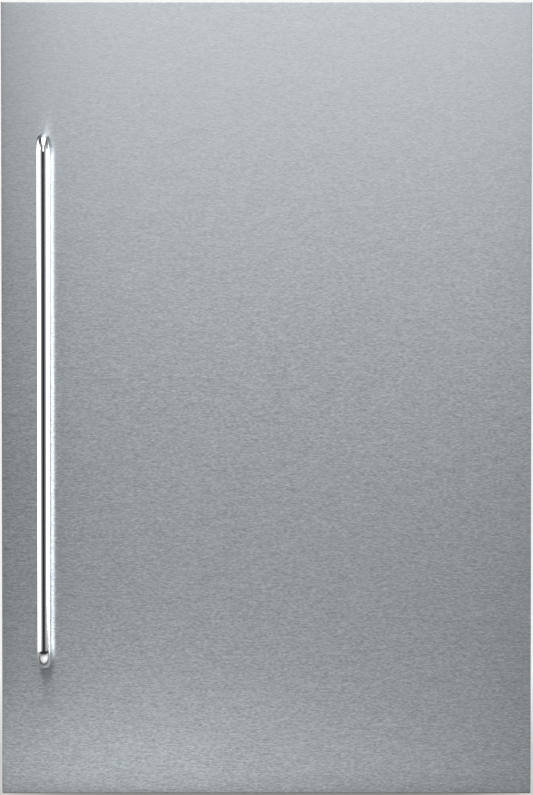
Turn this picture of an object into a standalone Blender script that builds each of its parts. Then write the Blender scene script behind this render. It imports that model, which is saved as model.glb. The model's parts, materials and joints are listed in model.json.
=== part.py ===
"""An undercounter refrigerator with one full-height steel-fronted door, hinged on the right.

The frame: +Z up, the door faces -Y, and the origin is on the floor under the middle of the overall box.
Sizes are in millimetres, and MM turns them into Blender's metres when a mesh is made.
"""

import math

import bmesh
import bpy
from mathutils import Matrix, Vector

MM = 0.001
GAP = 0.3  # kept between neighbouring pieces
SHEET = 1.0  # folded steel sheet

# ---------------------------------------------------------------- driving sizes
PANEL_WIDTH, PANEL_HEIGHT, PANEL_DEPTH = 572.0, 855.0, 18.0
PANEL_FLOOR_GAP = 9.0
HANDLE_LENGTH, HANDLE_RADIUS = 574.0, 7.5
HANDLE_STANDOFF = 39.5  # panel face to the middle of the bar
HANDLE_INSET = 47.4  # panel's left edge to the middle of the bar
HANDLE_DROP = 2.0  # the bar's middle below the panel's
HANDLE_BEND = 13.0  # centreline radius of its two bends
DOOR_DEPTH, SEAL_SPACE = 42.0, 9.7
CABINET_WIDTH, CABINET_DEPTH = 566.0, 510.0
CABINET_BASE, CABINET_TOP = 30.0, 852.0
CONDENSER_SPACE = 30.0
HINGE_FROM_EDGE, HINGE_FROM_PANEL = 18.0, 20.0

# ---------------------------------------------------------------- planes worked out from them
HANDLE_REACH = HANDLE_STANDOFF + HANDLE_RADIUS
BODY_DEPTH = PANEL_DEPTH + GAP + DOOR_DEPTH + SEAL_SPACE + CABINET_DEPTH + CONDENSER_SPACE
FRONT = (HANDLE_REACH - BODY_DEPTH) / 2
PANEL_BACK = FRONT + PANEL_DEPTH
DOOR_FRONT = PANEL_BACK + GAP
DOOR_BACK = DOOR_FRONT + DOOR_DEPTH
CABINET_FRONT = DOOR_BACK + SEAL_SPACE
CABINET_BACK = CABINET_FRONT + CABINET_DEPTH
REAR = CABINET_BACK + CONDENSER_SPACE
PANEL_SIDE = PANEL_WIDTH / 2
PANEL_BOTTOM, PANEL_TOP = PANEL_FLOOR_GAP, PANEL_FLOOR_GAP + PANEL_HEIGHT
HINGE_X, HINGE_Y = PANEL_SIDE - HINGE_FROM_EDGE, PANEL_BACK + HINGE_FROM_PANEL
SIDE = CABINET_WIDTH / 2
WALL_IN = SHEET + GAP  # from a sheet's outer face to the foam behind it

# the machine compartment, a step cut out of the lower back
BAY_FRONT, BAY_TOP = CABINET_BACK - 174.0, 225.0

# the food compartment
LINER = 2.0
INSULATION = 37.0  # cabinet's outer face to the liner's outer face
ROOM_SIDE = SIDE - INSULATION - LINER
ROOM_FLOOR, ROOM_CEILING = 72.0, 814.0
ROOM_BACK = CABINET_BACK - INSULATION - 2 * LINER
STEP_FRONT, STEP_FLOOR = BAY_FRONT - 42.0, BAY_TOP + 41.0

# the insulated door behind the steel panel
DOOR_SIDE, DOOR_BOTTOM, DOOR_TOP = 279.0, 36.0, 848.0

# shelves and door bins
BIN_SIDE, BIN_WALL = 203.0, 2.5
BIN_BACK, BIN_FRONT = DOOR_BACK + GAP, DOOR_BACK + 89.7
BINS = ((640.0, 75.0), (420.0, 75.0), (100.0, 90.0))  # floor height and wall height
SHELF_FRONT, SHELF_BACK, GLASS = BIN_FRONT + 23.5, 207.0, 4.0
SHELF_LEVELS = (620.0, 450.0)
SPARE_LEVELS = (700.0, 535.0, 360.0)
LEDGE_REACH = 8.0

# the compressor
PUMP_X, PUMP_Y = 70.0, 212.0
PUMP_HALF_LENGTH, PUMP_HALF_WIDTH = 100.0, 72.0
PUMP_BOTTOM, PUMP_TOP = 45.0, 184.0
STUD_X, STUD_Y = 88.0, 56.0

# the air duct on the back wall, and the fan inside it
DUCT_FRONT = 212.5
FAN_Z = 690.0
FAN_DEPTH = 22.0
FEET = {
    "foot_front_left": (-205.0, -150.0),
    "foot_front_right": (205.0, -150.0),
    "foot_rear_left": (-250.0, 262.0),
    "foot_rear_right": (250.0, 262.0),
}
FOOT_STUD = 4.8
FOOT_HOLE = 5.7


# ---------------------------------------------------------------- materials
def material(name, colour, roughness, metallic=0.0, alpha=1.0):
    made = bpy.data.materials.new(name)
    made.use_nodes = True
    shader = made.node_tree.nodes["Principled BSDF"]
    shader.inputs["Base Color"].default_value = (*colour, 1.0)
    shader.inputs["Roughness"].default_value = roughness
    shader.inputs["Metallic"].default_value = metallic
    shader.inputs["Alpha"].default_value = alpha
    return made


def make_materials():
    return {
        "stainless": material("stainless", (0.60, 0.62, 0.63), 0.32, 1.0),
        "polished": material("polished", (0.88, 0.89, 0.90), 0.06, 1.0),
        "painted": material("painted", (0.42, 0.43, 0.44), 0.45),
        "galvanised": material("galvanised", (0.56, 0.58, 0.60), 0.45, 1.0),
        "white": material("white", (0.86, 0.87, 0.87), 0.3),
        "grey": material("grey", (0.35, 0.36, 0.37), 0.5),
        "black": material("black", (0.02, 0.02, 0.022), 0.4),
        "clear": material("clear", (0.85, 0.92, 0.95), 0.08, 0.0, 0.4),
        "glass": material("glass", (0.80, 0.90, 0.87), 0.03, 0.0, 0.35),
        "seal": material("seal", (0.30, 0.31, 0.32), 0.7),
        "foam": material("foam", (0.86, 0.78, 0.52), 0.9),
        "copper": material("copper", (0.78, 0.42, 0.27), 0.3, 1.0),
        "aluminium": material("aluminium", (0.80, 0.81, 0.82), 0.35, 1.0),
        "board": material("board", (0.55, 0.47, 0.37), 0.8),
        "lamp": material("lamp", (0.95, 0.95, 0.92), 0.35),
    }


# ---------------------------------------------------------------- making objects
def clear_scene():
    for obj in list(bpy.data.objects):
        bpy.data.objects.remove(obj)


def finish_mesh(name, shape, finish, smooth=False):
    """Turns a bmesh drawn in millimetres into a named object in metres."""
    bmesh.ops.recalc_face_normals(shape, faces=shape.faces)
    mesh = bpy.data.meshes.new(name)
    shape.to_mesh(mesh)
    shape.free()
    mesh.transform(Matrix.Scale(MM, 4))
    obj = bpy.data.objects.new(name, mesh)
    bpy.context.scene.collection.objects.link(obj)
    if finish is None:  # a cutter or a piece that a Boolean joins on
        obj.hide_render = True
        obj.display_type = "WIRE"
    else:
        mesh.materials.append(finish)
    if smooth:
        mesh.shade_smooth()
        mesh.set_sharp_from_angle(angle=math.radians(35))
    return obj


def add_box(shape, low, high):
    """Adds a box to a bmesh and returns its faces."""
    low, high = Vector(low), Vector(high)
    place = Matrix.Translation((low + high) / 2) @ Matrix.Diagonal((*(high - low), 1.0))
    made = bmesh.ops.create_cube(shape, size=1.0, matrix=place)
    return list({face for vert in made["verts"] for face in vert.link_faces})


def boxes(name, corners, finish):
    """One object of one or more boxes, each given by its lowest and highest corner."""
    shape = bmesh.new()
    for low, high in corners:
        add_box(shape, low, high)
    return finish_mesh(name, shape, finish)


def box(name, low, high, finish):
    return boxes(name, [(low, high)], finish)


def facing(faces, direction):
    return max(faces, key=lambda face: face.normal.dot(Vector(direction)))


def tray(name, low, high, wall, opening, finish):
    """A box with thin walls that is open on the side that opening points to."""
    shape = bmesh.new()
    mouth = facing(add_box(shape, low, high), opening)
    bmesh.ops.inset_region(shape, faces=[mouth], thickness=wall, use_even_offset=True)
    depth = abs((Vector(high) - Vector(low)).dot(Vector(opening))) - wall
    floor = bmesh.ops.extrude_discrete_faces(shape, faces=[mouth])["faces"][0]
    bmesh.ops.translate(shape, vec=-depth * Vector(opening), verts=floor.verts)
    return finish_mesh(name, shape, finish)


def ring(name, low, high, band, finish):
    """A flat rectangular frame lying in X and Z, band wide."""
    frame = box(name, low, high, finish)
    inner_low = (low[0] + band[0], low[1] - 5, low[2] + band[1])
    inner_high = (high[0] - band[0], high[1] + 5, high[2] - band[2])
    cut(frame, box(name + "_window", inner_low, inner_high, None))
    return frame


def prism(name, outline, axis, start, end, finish):
    """Extrudes an outline along an axis: (y, z) points along X, (x, z) along Y or (x, y) along Z."""
    place = {
        "X": lambda a, b: (start, a, b),
        "Y": lambda a, b: (a, start, b),
        "Z": lambda a, b: (a, b, start),
    }[axis]
    along = Vector([(end - start) * (letter == axis) for letter in "XYZ"])
    shape = bmesh.new()
    face = shape.faces.new([shape.verts.new(place(a, b)) for a, b in outline])
    made = bmesh.ops.extrude_face_region(shape, geom=[face])["geom"]
    verts = [item for item in made if isinstance(item, bmesh.types.BMVert)]
    bmesh.ops.translate(shape, vec=along, verts=verts)
    return finish_mesh(name, shape, finish)


def turned(name, profile, centre, axis, sides, finish, closed=False, stretch=(1, 1)):
    """Turns (radius, height) points about an axis through centre. A radius of 0 closes an end;
    closed joins the last point to the first, for a piece with a bore."""
    turn = Vector((0, 0, 1)).rotation_difference(Vector(axis)).to_matrix()
    shape = bmesh.new()
    rings = []
    for radius, height in profile:
        angles = [math.tau * (k + 0.5) / sides for k in range(sides if radius > 0 else 1)]
        points = [
            (radius * math.cos(a) * stretch[0], radius * math.sin(a) * stretch[1], height)
            for a in angles
        ]
        rings.append([shape.verts.new(turn @ Vector(p) + Vector(centre)) for p in points])
    pairs = list(zip(rings, rings[1:]))
    if closed:
        pairs.append((rings[-1], rings[0]))
    for upper, lower in pairs:
        for k in range(sides):
            corners = [upper[k % len(upper)], upper[(k + 1) % len(upper)]]
            corners += [lower[(k + 1) % len(lower)], lower[k % len(lower)]]
            shape.faces.new(list(dict.fromkeys(corners)))
    return finish_mesh(name, shape, finish, smooth=finish is not None)


def rod(name, centre, axis, radius, length, sides, finish):
    """A plain cylinder that starts at centre and runs along axis."""
    profile = [(0, length), (radius, length), (radius, 0), (0, 0)]
    return turned(name, profile, centre, axis, sides, finish)


def rods(name, starts, axis, radius, length, sides):
    """Several cylinders in one cutter."""
    shape = bmesh.new()
    turn = Vector((0, 0, 1)).rotation_difference(Vector(axis)).to_matrix().to_4x4()
    middle = Vector(axis).normalized() * length / 2
    for start in starts:
        place = Matrix.Translation(Vector(start) + middle) @ turn
        bmesh.ops.create_cone(
            shape, cap_ends=True, segments=sides, radius1=radius, radius2=radius,
            depth=length, matrix=place,
        )
    return finish_mesh(name, shape, None)


def boolean(target, other, operation):
    modifier = target.modifiers.new(operation.lower() + "_" + other.name, "BOOLEAN")
    modifier.operation = operation
    modifier.object = other
    return target


def cut(target, cutter):
    return boolean(target, cutter, "DIFFERENCE")


def join(target, extra):
    return boolean(target, extra, "UNION")


def rounded_path(corners, radius, steps=4):
    """The corner points with each inner corner replaced by an arc."""
    corners = [Vector(c) for c in corners]
    path = [corners[0]]
    for before, corner, after in zip(corners, corners[1:], corners[2:]):
        back, ahead = (before - corner).normalized(), (after - corner).normalized()
        half = back.angle(ahead) / 2
        reach = radius / math.tan(half)
        centre = corner + (back + ahead).normalized() * radius / math.sin(half)
        first, last = corner + back * reach - centre, corner + ahead * reach - centre
        for k in range(steps + 1):
            path.append(centre + first.slerp(last, k / steps).normalized() * radius)
    path.append(corners[-1])
    return path


def serpentine(left, right, y, low, pitch, passes, steps=6):
    """A run of level passes with round ends, starting at the low right and climbing."""
    path = []
    for k in range(passes):
        z = low + k * pitch
        going_left = k % 2 == 0
        ends = (right, left) if going_left else (left, right)
        path += [Vector((ends[0], y, z)), Vector((ends[1], y, z))]
        if k == passes - 1:
            break
        out = -1 if going_left else 1
        for s in range(1, steps):
            a = math.pi * s / steps
            bulge = out * math.sin(a) * pitch / 2
            path.append(Vector((ends[1] + bulge, y, z + (1 - math.cos(a)) * pitch / 2)))
    return path


def tube(name, path, radius, finish, sides=8):
    """Sweeps a circle along a path with mitred corners and flat ends."""
    path = [Vector(place) for place in path]
    runs = [(after - before).normalized() for before, after in zip(path, path[1:])]
    across = runs[0].orthogonal().normalized()
    shape = bmesh.new()
    rings = []
    for k, place in enumerate(path):
        arrive, leave = runs[max(k - 1, 0)], runs[min(k, len(runs) - 1)]
        across = (across - arrive * across.dot(arrive)).normalized()
        up = arrive.cross(across)
        mitre = (arrive + leave).normalized()
        corners = []
        for s in range(sides):
            a = math.tau * (s + 0.5) / sides
            reach = radius * (math.cos(a) * across + math.sin(a) * up)
            reach -= arrive * reach.dot(mitre) / arrive.dot(mitre)
            corners.append(shape.verts.new(place + reach))
        rings.append(corners)
    for near, far in zip(rings, rings[1:]):
        for s in range(sides):
            t = (s + 1) % sides
            shape.faces.new([near[s], near[t], far[t], far[s]])
    shape.faces.new(rings[0])
    shape.faces.new(rings[-1])
    return finish_mesh(name, shape, finish, smooth=True)


def pivot(name, place):
    """An empty on a joint's axis."""
    empty = bpy.data.objects.new(name, None)
    empty.location = Vector(place) * MM
    bpy.context.scene.collection.objects.link(empty)
    return empty


def hang(obj, empty):
    """Parents a piece to its joint's empty, with its origin on the joint's axis."""
    obj.data.transform(Matrix.Translation(-empty.location))
    obj.parent = empty
    return obj


# ---------------------------------------------------------------- the cabinet
def make_casing(finish):
    start, end = CABINET_FRONT + WALL_IN, CABINET_BACK
    inner = SIDE - WALL_IN
    for name, out in (("side_panel_left", -1), ("side_panel_right", 1)):
        edges = sorted((out * SIDE, out * (SIDE - SHEET)))
        low, high = (edges[0], start, CABINET_BASE), (edges[1], end, CABINET_TOP)
        box(name, low, high, finish["painted"])
    box(
        "top_panel", (-inner, start, CABINET_TOP - SHEET),
        (inner, end - WALL_IN, CABINET_TOP), finish["painted"],
    )
    box(
        "back_panel", (-inner, end - SHEET, BAY_TOP + WALL_IN),
        (inner, end, CABINET_TOP - WALL_IN), finish["galvanised"],
    )
    collar_band = (SIDE - ROOM_SIDE, ROOM_FLOOR - CABINET_BASE, CABINET_TOP - ROOM_CEILING)
    ring(
        "front_collar", (-SIDE, CABINET_FRONT, CABINET_BASE),
        (SIDE, CABINET_FRONT + SHEET, CABINET_TOP), collar_band, finish["painted"],
    )
    outline = [
        (start, CABINET_BASE), (BAY_FRONT, CABINET_BASE), (BAY_FRONT, BAY_TOP),
        (end - WALL_IN, BAY_TOP), (end - WALL_IN, BAY_TOP + SHEET),
        (BAY_FRONT - SHEET, BAY_TOP + SHEET), (BAY_FRONT - SHEET, CABINET_BASE + SHEET),
        (start, CABINET_BASE + SHEET),
    ]
    pan = prism("base_pan", outline, "X", -inner, inner, finish["galvanised"])
    cut(pan, foot_holes("pan_foot_holes", 0.0, CABINET_BASE + 10))
    cut(pan, drain_hole("pan_drain_hole"))


def foot_holes(name, low, high):
    fronts = [(*FEET[f], low) for f in ("foot_front_left", "foot_front_right")]
    return rods(name, fronts, (0, 0, 1), FOOT_HOLE, high - low, 12)


def drain_hole(name):
    return rods(name, [(PUMP_X, PUMP_Y, BAY_TOP - 10)], (0, 0, 1), 7.6, 60, 12)


def room_outline(grow, front):
    """The food compartment's side outline in Y and Z, grown outwards by a wall or a gap."""
    return [
        (front, ROOM_FLOOR - grow), (STEP_FRONT + grow, ROOM_FLOOR - grow),
        (STEP_FRONT + grow, STEP_FLOOR - grow), (ROOM_BACK + grow, STEP_FLOOR - grow),
        (ROOM_BACK + grow, ROOM_CEILING + grow), (front, ROOM_CEILING + grow),
    ]


def make_insulation(finish):
    start, end = CABINET_FRONT + WALL_IN, CABINET_BACK - WALL_IN
    low, high = CABINET_BASE + WALL_IN, CABINET_TOP - WALL_IN
    step_y, step_z = BAY_FRONT - WALL_IN, BAY_TOP + WALL_IN
    outline = [
        (start, low), (step_y, low), (step_y, step_z), (end, step_z), (end, high), (start, high),
    ]
    inner = SIDE - WALL_IN
    foam = prism("insulation_foam", outline, "X", -inner, inner, finish["foam"])
    room = ROOM_SIDE + LINER + GAP
    hollow = room_outline(LINER + GAP, CABINET_FRONT - 20)
    cut(foam, prism("foam_hollow", hollow, "X", -room, room, None))
    cut(foam, foot_holes("foam_foot_holes", 0.0, 54.0))
    cut(foam, drain_hole("foam_drain_hole"))


def make_liner(finish):
    front = CABINET_FRONT + WALL_IN
    room = ROOM_SIDE + LINER
    liner = prism("inner_liner", room_outline(LINER, front), "X", -room, room, finish["white"])
    cut(liner, prism("liner_hollow", room_outline(0, front - 10), "X", -ROOM_SIDE, ROOM_SIDE, None))
    ledges = []
    for side in (-1, 1):
        edges = sorted((side * (ROOM_SIDE + 1), side * (ROOM_SIDE - LEDGE_REACH)))
        for level in (*SHELF_LEVELS, *SPARE_LEVELS):
            low = (edges[0], SHELF_FRONT - 4, level - 6)
            ledges.append((low, (edges[1], SHELF_BACK, level - GAP)))
        low = (edges[0], SHELF_FRONT - 4, STEP_FLOOR - 6)
        ledges.append((low, (edges[1], STEP_FRONT + 1, STEP_FLOOR)))
    join(liner, boxes("liner_ledges", ledges, None))
    cut(liner, drain_hole("liner_drain_hole"))


def make_shelves(finish):
    glass_side = ROOM_SIDE - 2
    trim_side = ROOM_SIDE - LEDGE_REACH - 1.5
    for number, level in enumerate(SHELF_LEVELS, 1):
        low, high = (-glass_side, SHELF_FRONT, level), (glass_side, SHELF_BACK, level + GLASS)
        box(f"shelf_glass_{number}", low, high, finish["glass"])
        front, back = SHELF_FRONT - 8, SHELF_FRONT + 6
        slot = (SHELF_FRONT - GAP, level - GAP, level + GLASS + GAP)
        outline = [
            (front, level - 3), (back, level - 3), (back, slot[1]), (slot[0], slot[1]),
            (slot[0], slot[2]), (back, slot[2]), (back, level + 7), (front, level + 7),
        ]
        prism(f"shelf_trim_{number}", outline, "X", -trim_side, trim_side, finish["aluminium"])
    lid_low = (-glass_side, SHELF_FRONT, STEP_FLOOR + GAP)
    lid_high = (glass_side, STEP_FRONT + 40, STEP_FLOOR + GAP + GLASS)
    box("crisper_lid", lid_low, lid_high, finish["glass"])


def make_crisper(finish):
    slide = pivot("crisper_slide", (0, SHELF_FRONT, ROOM_FLOOR))
    low = (-228, SHELF_FRONT - 6, ROOM_FLOOR + GAP)
    high = (228, STEP_FRONT - 4.5, STEP_FLOOR - 10)
    drawer = tray("crisper_drawer", low, high, 2.5, (0, 0, 1), finish["clear"])
    grip_low = (-70, SHELF_FRONT - 16, STEP_FLOOR - 26)
    join(drawer, box("crisper_grip", grip_low, (70, SHELF_FRONT - 5, STEP_FLOOR - 10), None))
    hang(drawer, slide)


def make_controls(finish):
    """The ceiling unit with its temperature knob and lamp, and the door-operated light switch."""
    front, low = SHELF_FRONT - 4, ROOM_CEILING - 30
    outline = [
        (front, ROOM_CEILING - GAP), (front, low + 6), (front + 12, low),
        (front + 140, low), (front + 152, ROOM_CEILING - GAP),
    ]
    prism("control_housing", outline, "X", -115, 115, finish["white"])
    lens_low = (-80, front + 26, low - 3)
    box("lamp_lens", lens_low, (20, front + 120, low - GAP), finish["lamp"])
    knob_at = (80, front - GAP, ROOM_CEILING - 12.5)
    knob_axis = pivot("knob_axis", knob_at)
    profile = [(0, 12), (8.6, 12), (10, 10.5), (10, 0), (0, 0)]
    knob = turned("temperature_knob", profile, knob_at, (0, -1, 0), 20, finish["grey"])
    low_corner = (knob_at[0] - 1.5, knob_at[1] - 13, knob_at[2] - 9)
    high_corner = (knob_at[0] + 1.5, knob_at[1] - 11, knob_at[2] + 9)
    join(knob, box("knob_ridge", low_corner, high_corner, None))
    hang(knob, knob_axis)

    switch_x, switch_z = -192.5, ROOM_CEILING - 11
    body_front = CABINET_FRONT + 3.5
    body = box(
        "light_switch_body", (switch_x - 12, body_front, switch_z - 8),
        (switch_x + 12, body_front + 28, ROOM_CEILING - GAP), finish["white"],
    )
    cut(body, rods("switch_bore", [(switch_x, body_front - 5, switch_z)], (0, 1, 0), 3.6, 28, 12))
    tip = DOOR_BACK + GAP
    plunger_axis = pivot("plunger_axis", (switch_x, tip, switch_z))
    length = body_front + 20 - tip
    profile = [(0, length), (2, length), (3, length - 1.5), (3, 0), (0, 0)]
    start = (switch_x, tip + length, switch_z)
    plunger = turned("light_switch_plunger", profile, start, (0, -1, 0), 12, finish["white"])
    hang(plunger, plunger_axis)


# ---------------------------------------------------------------- cooling
def make_air_duct(finish):
    side, low, high = 150.0, 290.0, 770.0
    front = DUCT_FRONT
    cover = tray(
        "duct_cover", (-side, front, low), (side, ROOM_BACK - GAP, high), 2.0, (0, 1, 0),
        finish["white"],
    )
    slots = [((-45, front - 4, z), (45, front + 6, z + 6)) for z in range(650, 732, 14)]
    slots += [((-100, front - 4, z), (100, front + 6, z + 6)) for z in range(310, 362, 14)]
    slots.append(((-110, front + 8, low - 4), (110, front + 32, low + 6)))
    cut(cover, boxes("duct_slots", slots, None))
    side, back, pitch, thin = 125.0, ROOM_BACK - GAP, 10.0, 1.5
    comb = [(-side, back), (side, back)]
    for k in range(int(2 * side / pitch) + 1):
        x = side - k * pitch
        comb += [(x, back - 2), (x, back - 18), (x - thin, back - 18), (x - thin, back - 2)]
    comb = comb[:2] + comb[3:-1]
    comb[-1] = (-side, comb[-1][1])
    prism("evaporator_fins", comb, "Z", 370, 610, finish["aluminium"])
    radius = 4.0
    path = serpentine(-96, 96, back - 18 - GAP - radius, 382, 36, 7)
    tube("evaporator_tube", path, radius, finish["copper"])


def make_fan(finish):
    """An axial fan behind the duct's upper slots; the arms at its back carry the motor."""
    front = DUCT_FRONT + 2 + GAP
    back = front + FAN_DEPTH
    shroud = box(
        "fan_shroud", (-50, front, FAN_Z - 50), (50, back, FAN_Z + 50), finish["black"]
    )
    cut(shroud, rods("shroud_bore", [(0, front - 5, FAN_Z)], (0, 1, 0), 46, 40, 24))
    join(shroud, box("shroud_arms", (-48, back - 3, FAN_Z - 2), (48, back, FAN_Z + 2), None))
    join(shroud, rods("fan_motor_seat", [(0, back - 3.5, FAN_Z)], (0, 1, 0), 17, 3.4, 16))

    middle = front + 9
    fan_axis = pivot("fan_axis", (0, middle, FAN_Z))
    hub = [(0, 16), (13, 16), (16, 14), (16, 0), (0, 0)]
    hub_back = (0, middle + 8, FAN_Z)
    rotor = turned("fan_rotor", hub, hub_back, (0, -1, 0), 20, finish["black"])
    shape = bmesh.new()
    for k in range(7):
        turn = Matrix.Rotation(math.tau * k / 7, 4, "Y")
        pitch = Matrix.Rotation(math.radians(38), 4, "Z")
        place = Matrix.Translation((0, middle, FAN_Z)) @ turn
        place = place @ Matrix.Translation((0, 0, 28)) @ pitch @ Matrix.Diagonal((15, 1.6, 29, 1))
        bmesh.ops.create_cube(shape, size=1.0, matrix=place)
    join(rotor, finish_mesh("fan_blades", shape, None))
    hang(rotor, fan_axis)


def make_compressor(finish):
    """A hermetic shell on a plate across the machine compartment, with its motor inside."""
    inner, back = SIDE - WALL_IN, CABINET_BACK - 2.5
    base = CABINET_BASE
    outline = [
        (BAY_FRONT + GAP, base), (back, base), (back, base + 25), (back - 1.5, base + 25),
        (back - 1.5, base + 2), (BAY_FRONT + GAP, base + 2),
    ]
    plate = prism("compressor_plate", outline, "X", -inner, inner, finish["galvanised"])
    tab = box("inlet_tab", (-216, back - 1.5, base + 20), (-164, back, base + 78), None)
    join(plate, tab)
    cut(plate, box("inlet_window", (-206, back - 6, 69), (-174, back + 5, 93), None))
    rears = [(*FEET[f], 0) for f in ("foot_rear_left", "foot_rear_right")]
    cut(plate, rods("plate_foot_holes", rears, (0, 0, 1), FOOT_HOLE, 60, 12))
    corners = [(PUMP_X + i * STUD_X, PUMP_Y + j * STUD_Y) for i in (-1, 1) for j in (-1, 1)]
    join(plate, rods("plate_studs", [(*c, base + 1) for c in corners], (0, 0, 1), 3.5, 24, 10))
    pad_height = PUMP_BOTTOM - 1 - GAP - (base + 1)
    join(plate, rods("plate_pads", [(*c, base + 1) for c in corners], (0, 0, 1), 8, pad_height, 12))

    wall = 3.0
    width = PUMP_HALF_WIDTH
    seam = (PUMP_BOTTOM + PUMP_TOP) / 2 + 8
    outer = [
        (20, PUMP_TOP), (width * 0.62, PUMP_TOP - 6), (width * 0.88, PUMP_TOP - 24),
        (width - 4, seam + 5), (width, seam + 4), (width, seam - 4), (width - 4, seam - 5),
        (width - 6, PUMP_BOTTOM + 26), (width * 0.7, PUMP_BOTTOM + 5), (16, PUMP_BOTTOM),
    ]
    inside = [
        (16, PUMP_BOTTOM + wall), (width * 0.7 - 2, PUMP_BOTTOM + 5 + wall),
        (width - 6 - wall, PUMP_BOTTOM + 26), (width - 4 - wall, seam),
        (width * 0.88 - wall, PUMP_TOP - 25), (width * 0.62 - 1, PUMP_TOP - 6 - wall),
        (0, PUMP_TOP - wall),
    ]
    shell = turned(
        "compressor_shell", [(0, PUMP_TOP), *outer, *inside], (PUMP_X, PUMP_Y, 0), (0, 0, 1),
        24, finish["black"], stretch=(PUMP_HALF_LENGTH / width, 1),
    )
    leg_low = (PUMP_X - STUD_X - 10, PUMP_Y - STUD_Y - 10, PUMP_BOTTOM - 1)
    leg_high = (PUMP_X + STUD_X + 10, PUMP_Y + STUD_Y + 10, PUMP_BOTTOM + 1.5)
    legs = box("pump_legs", leg_low, leg_high, None)
    join(shell, legs)
    cut(shell, rods("leg_holes", [(*c, PUMP_BOTTOM - 8) for c in corners], (0, 0, 1), 5, 16, 10))
    cut(shell, rods("shell_drain", [(PUMP_X, PUMP_Y, PUMP_BOTTOM - 8)], (0, 0, 1), 12, 18, 16))
    motor = [(0, 160), (30, 160), (30, 148), (48, 146), (48, 80), (22, 78), (22, 62), (0, 62)]
    turned("compressor_motor", motor, (PUMP_X, PUMP_Y, 0), (0, 0, 1), 20, finish["galvanised"])
    left = PUMP_X - PUMP_HALF_LENGTH
    low, high = (left - 42, PUMP_Y - 27, 80), (left - 1, PUMP_Y + 23, 140)
    box("relay_box", low, high, finish["black"])


def make_refrigerant_lines(finish):
    stub = PUMP_X + PUMP_HALF_LENGTH + 1
    plane = REAR - 8.5
    low_pass, pitch, passes = 290.0, 64.0, 9
    lead = [
        (stub, PUMP_Y, 130), (198, PUMP_Y, 130), (198, plane, 130), (225, plane, 130),
        (225, plane, low_pass), (195, plane, low_pass),
    ]
    top = low_pass + (passes - 1) * pitch
    tail = [
        (-195, plane, top), (-250, plane, top), (-250, plane, 196), (-250, 236, 196),
        (-130, 236, 196), (-130, 236, 178),
    ]
    coil = serpentine(-195, 195, plane, low_pass, pitch, passes)
    path = rounded_path(lead, 12)[:-1] + coil[:-1] + rounded_path(tail, 12)
    tube("condenser_tube", path, 2.5, finish["black"])

    wire_front, wire_back = plane + 2.5 + GAP, plane + 4.8
    wires = [
        ((x - 1, wire_front, low_pass - 15), (x + 1, wire_back, top + 15))
        for x in [-210 + 21 * k for k in range(21)]
    ]
    bars, tabs = [], []
    for z in (low_pass - 15, top + 11):
        bars.append(((-240, wire_front + 0.5, z), (240, REAR, z + 4)))
        for x in (-240, 232):
            tabs.append(((x, CABINET_BACK + GAP, z), (x + 8, wire_front + 1.5, z + 4)))
    rack = boxes("condenser_wires", bars, finish["black"])
    join(rack, boxes("rack_wires", wires, None))
    join(rack, boxes("rack_tabs", tabs, None))

    profile = [(0, 95), (3, 95), (3.5, 84), (9, 76), (9, 19), (3.5, 11), (3, 0), (0, 0)]
    turned("filter_drier", profile, (-130, 236, 82), (0, 0, 1), 16, finish["copper"])
    suction = [(stub + 44, 250, 224), (stub + 44, 250, 95), (stub + 44, PUMP_Y, 95), (stub, PUMP_Y, 95)]
    tube("suction_line", rounded_path(suction, 12), 4.0, finish["copper"])
    capillary = [
        (-130, 236, 81.5), (-130, 236, 58), (-170, 236, 58), (-170, 270, 58), (-170, 270, 224),
    ]
    tube("capillary_tube", rounded_path(capillary, 8), 1.25, finish["copper"])


def make_drain(finish):
    tray(
        "evaporation_tray", (PUMP_X - 90, PUMP_Y - 66, PUMP_TOP + GAP),
        (PUMP_X + 90, PUMP_Y + 66, PUMP_TOP + 26), 2.0, (0, 0, 1), finish["black"],
    )
    low, high = PUMP_TOP + 14, STEP_FLOOR + GAP
    profile = [(5, high + 1.5), (11, high + 1.5), (11, high), (7, high), (7, low), (5, low)]
    turned("drain_hose", profile, (PUMP_X, PUMP_Y, 0), (0, 0, 1), 16, finish["grey"], closed=True)


def make_electrics(finish):
    back = CABINET_BACK - 4.0
    body_low, body_high = (-205.5, back - 26, 69.5), (-174.5, back + 2, 92.5)
    inlet = tray("mains_inlet", body_low, body_high, 2.5, (0, 1, 0), finish["black"])
    flange_low, flange_high = (-213, back + 1.8, 63), (-167, back + 3.8, 99)
    flange = box("inlet_flange", flange_low, flange_high, None)
    cut(flange, box("flange_window", (-203, back - 9, 72), (-177, back + 9, 90), None))
    join(inlet, flange)
    pins = [((x - 1, back - 24.5, z - 3), (x + 1, back - 6, z + 3)) for x, z in
            ((-197, 79), (-190, 83), (-183, 79))]
    join(inlet, boxes("inlet_pins", pins, None))
    relay_x = PUMP_X - PUMP_HALF_LENGTH - 22
    route = [
        (-190, back - 26.5, 81), (-190, 244, 81), (-190, 244, 44), (-110, 205, 44),
        (relay_x, 205, 44), (relay_x, 205, 79.5),
    ]
    tube("inner_cable", rounded_path(route, 11), 3.0, finish["black"])


# ---------------------------------------------------------------- feet and hinges
def make_feet(finish):
    pad_and_stud = [
        (0, 50), (FOOT_STUD, 50), (FOOT_STUD, 18), (9, 18), (9, 12), (16, 12), (18, 9),
        (18, 0), (0, 0),
    ]
    for name, place in FEET.items():
        foot = turned(name, pad_and_stud, (*place, 0), (0, 0, 1), 16, finish["black"])
        hang(foot, pivot(name + "_screw", (*place, 0)))


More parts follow.
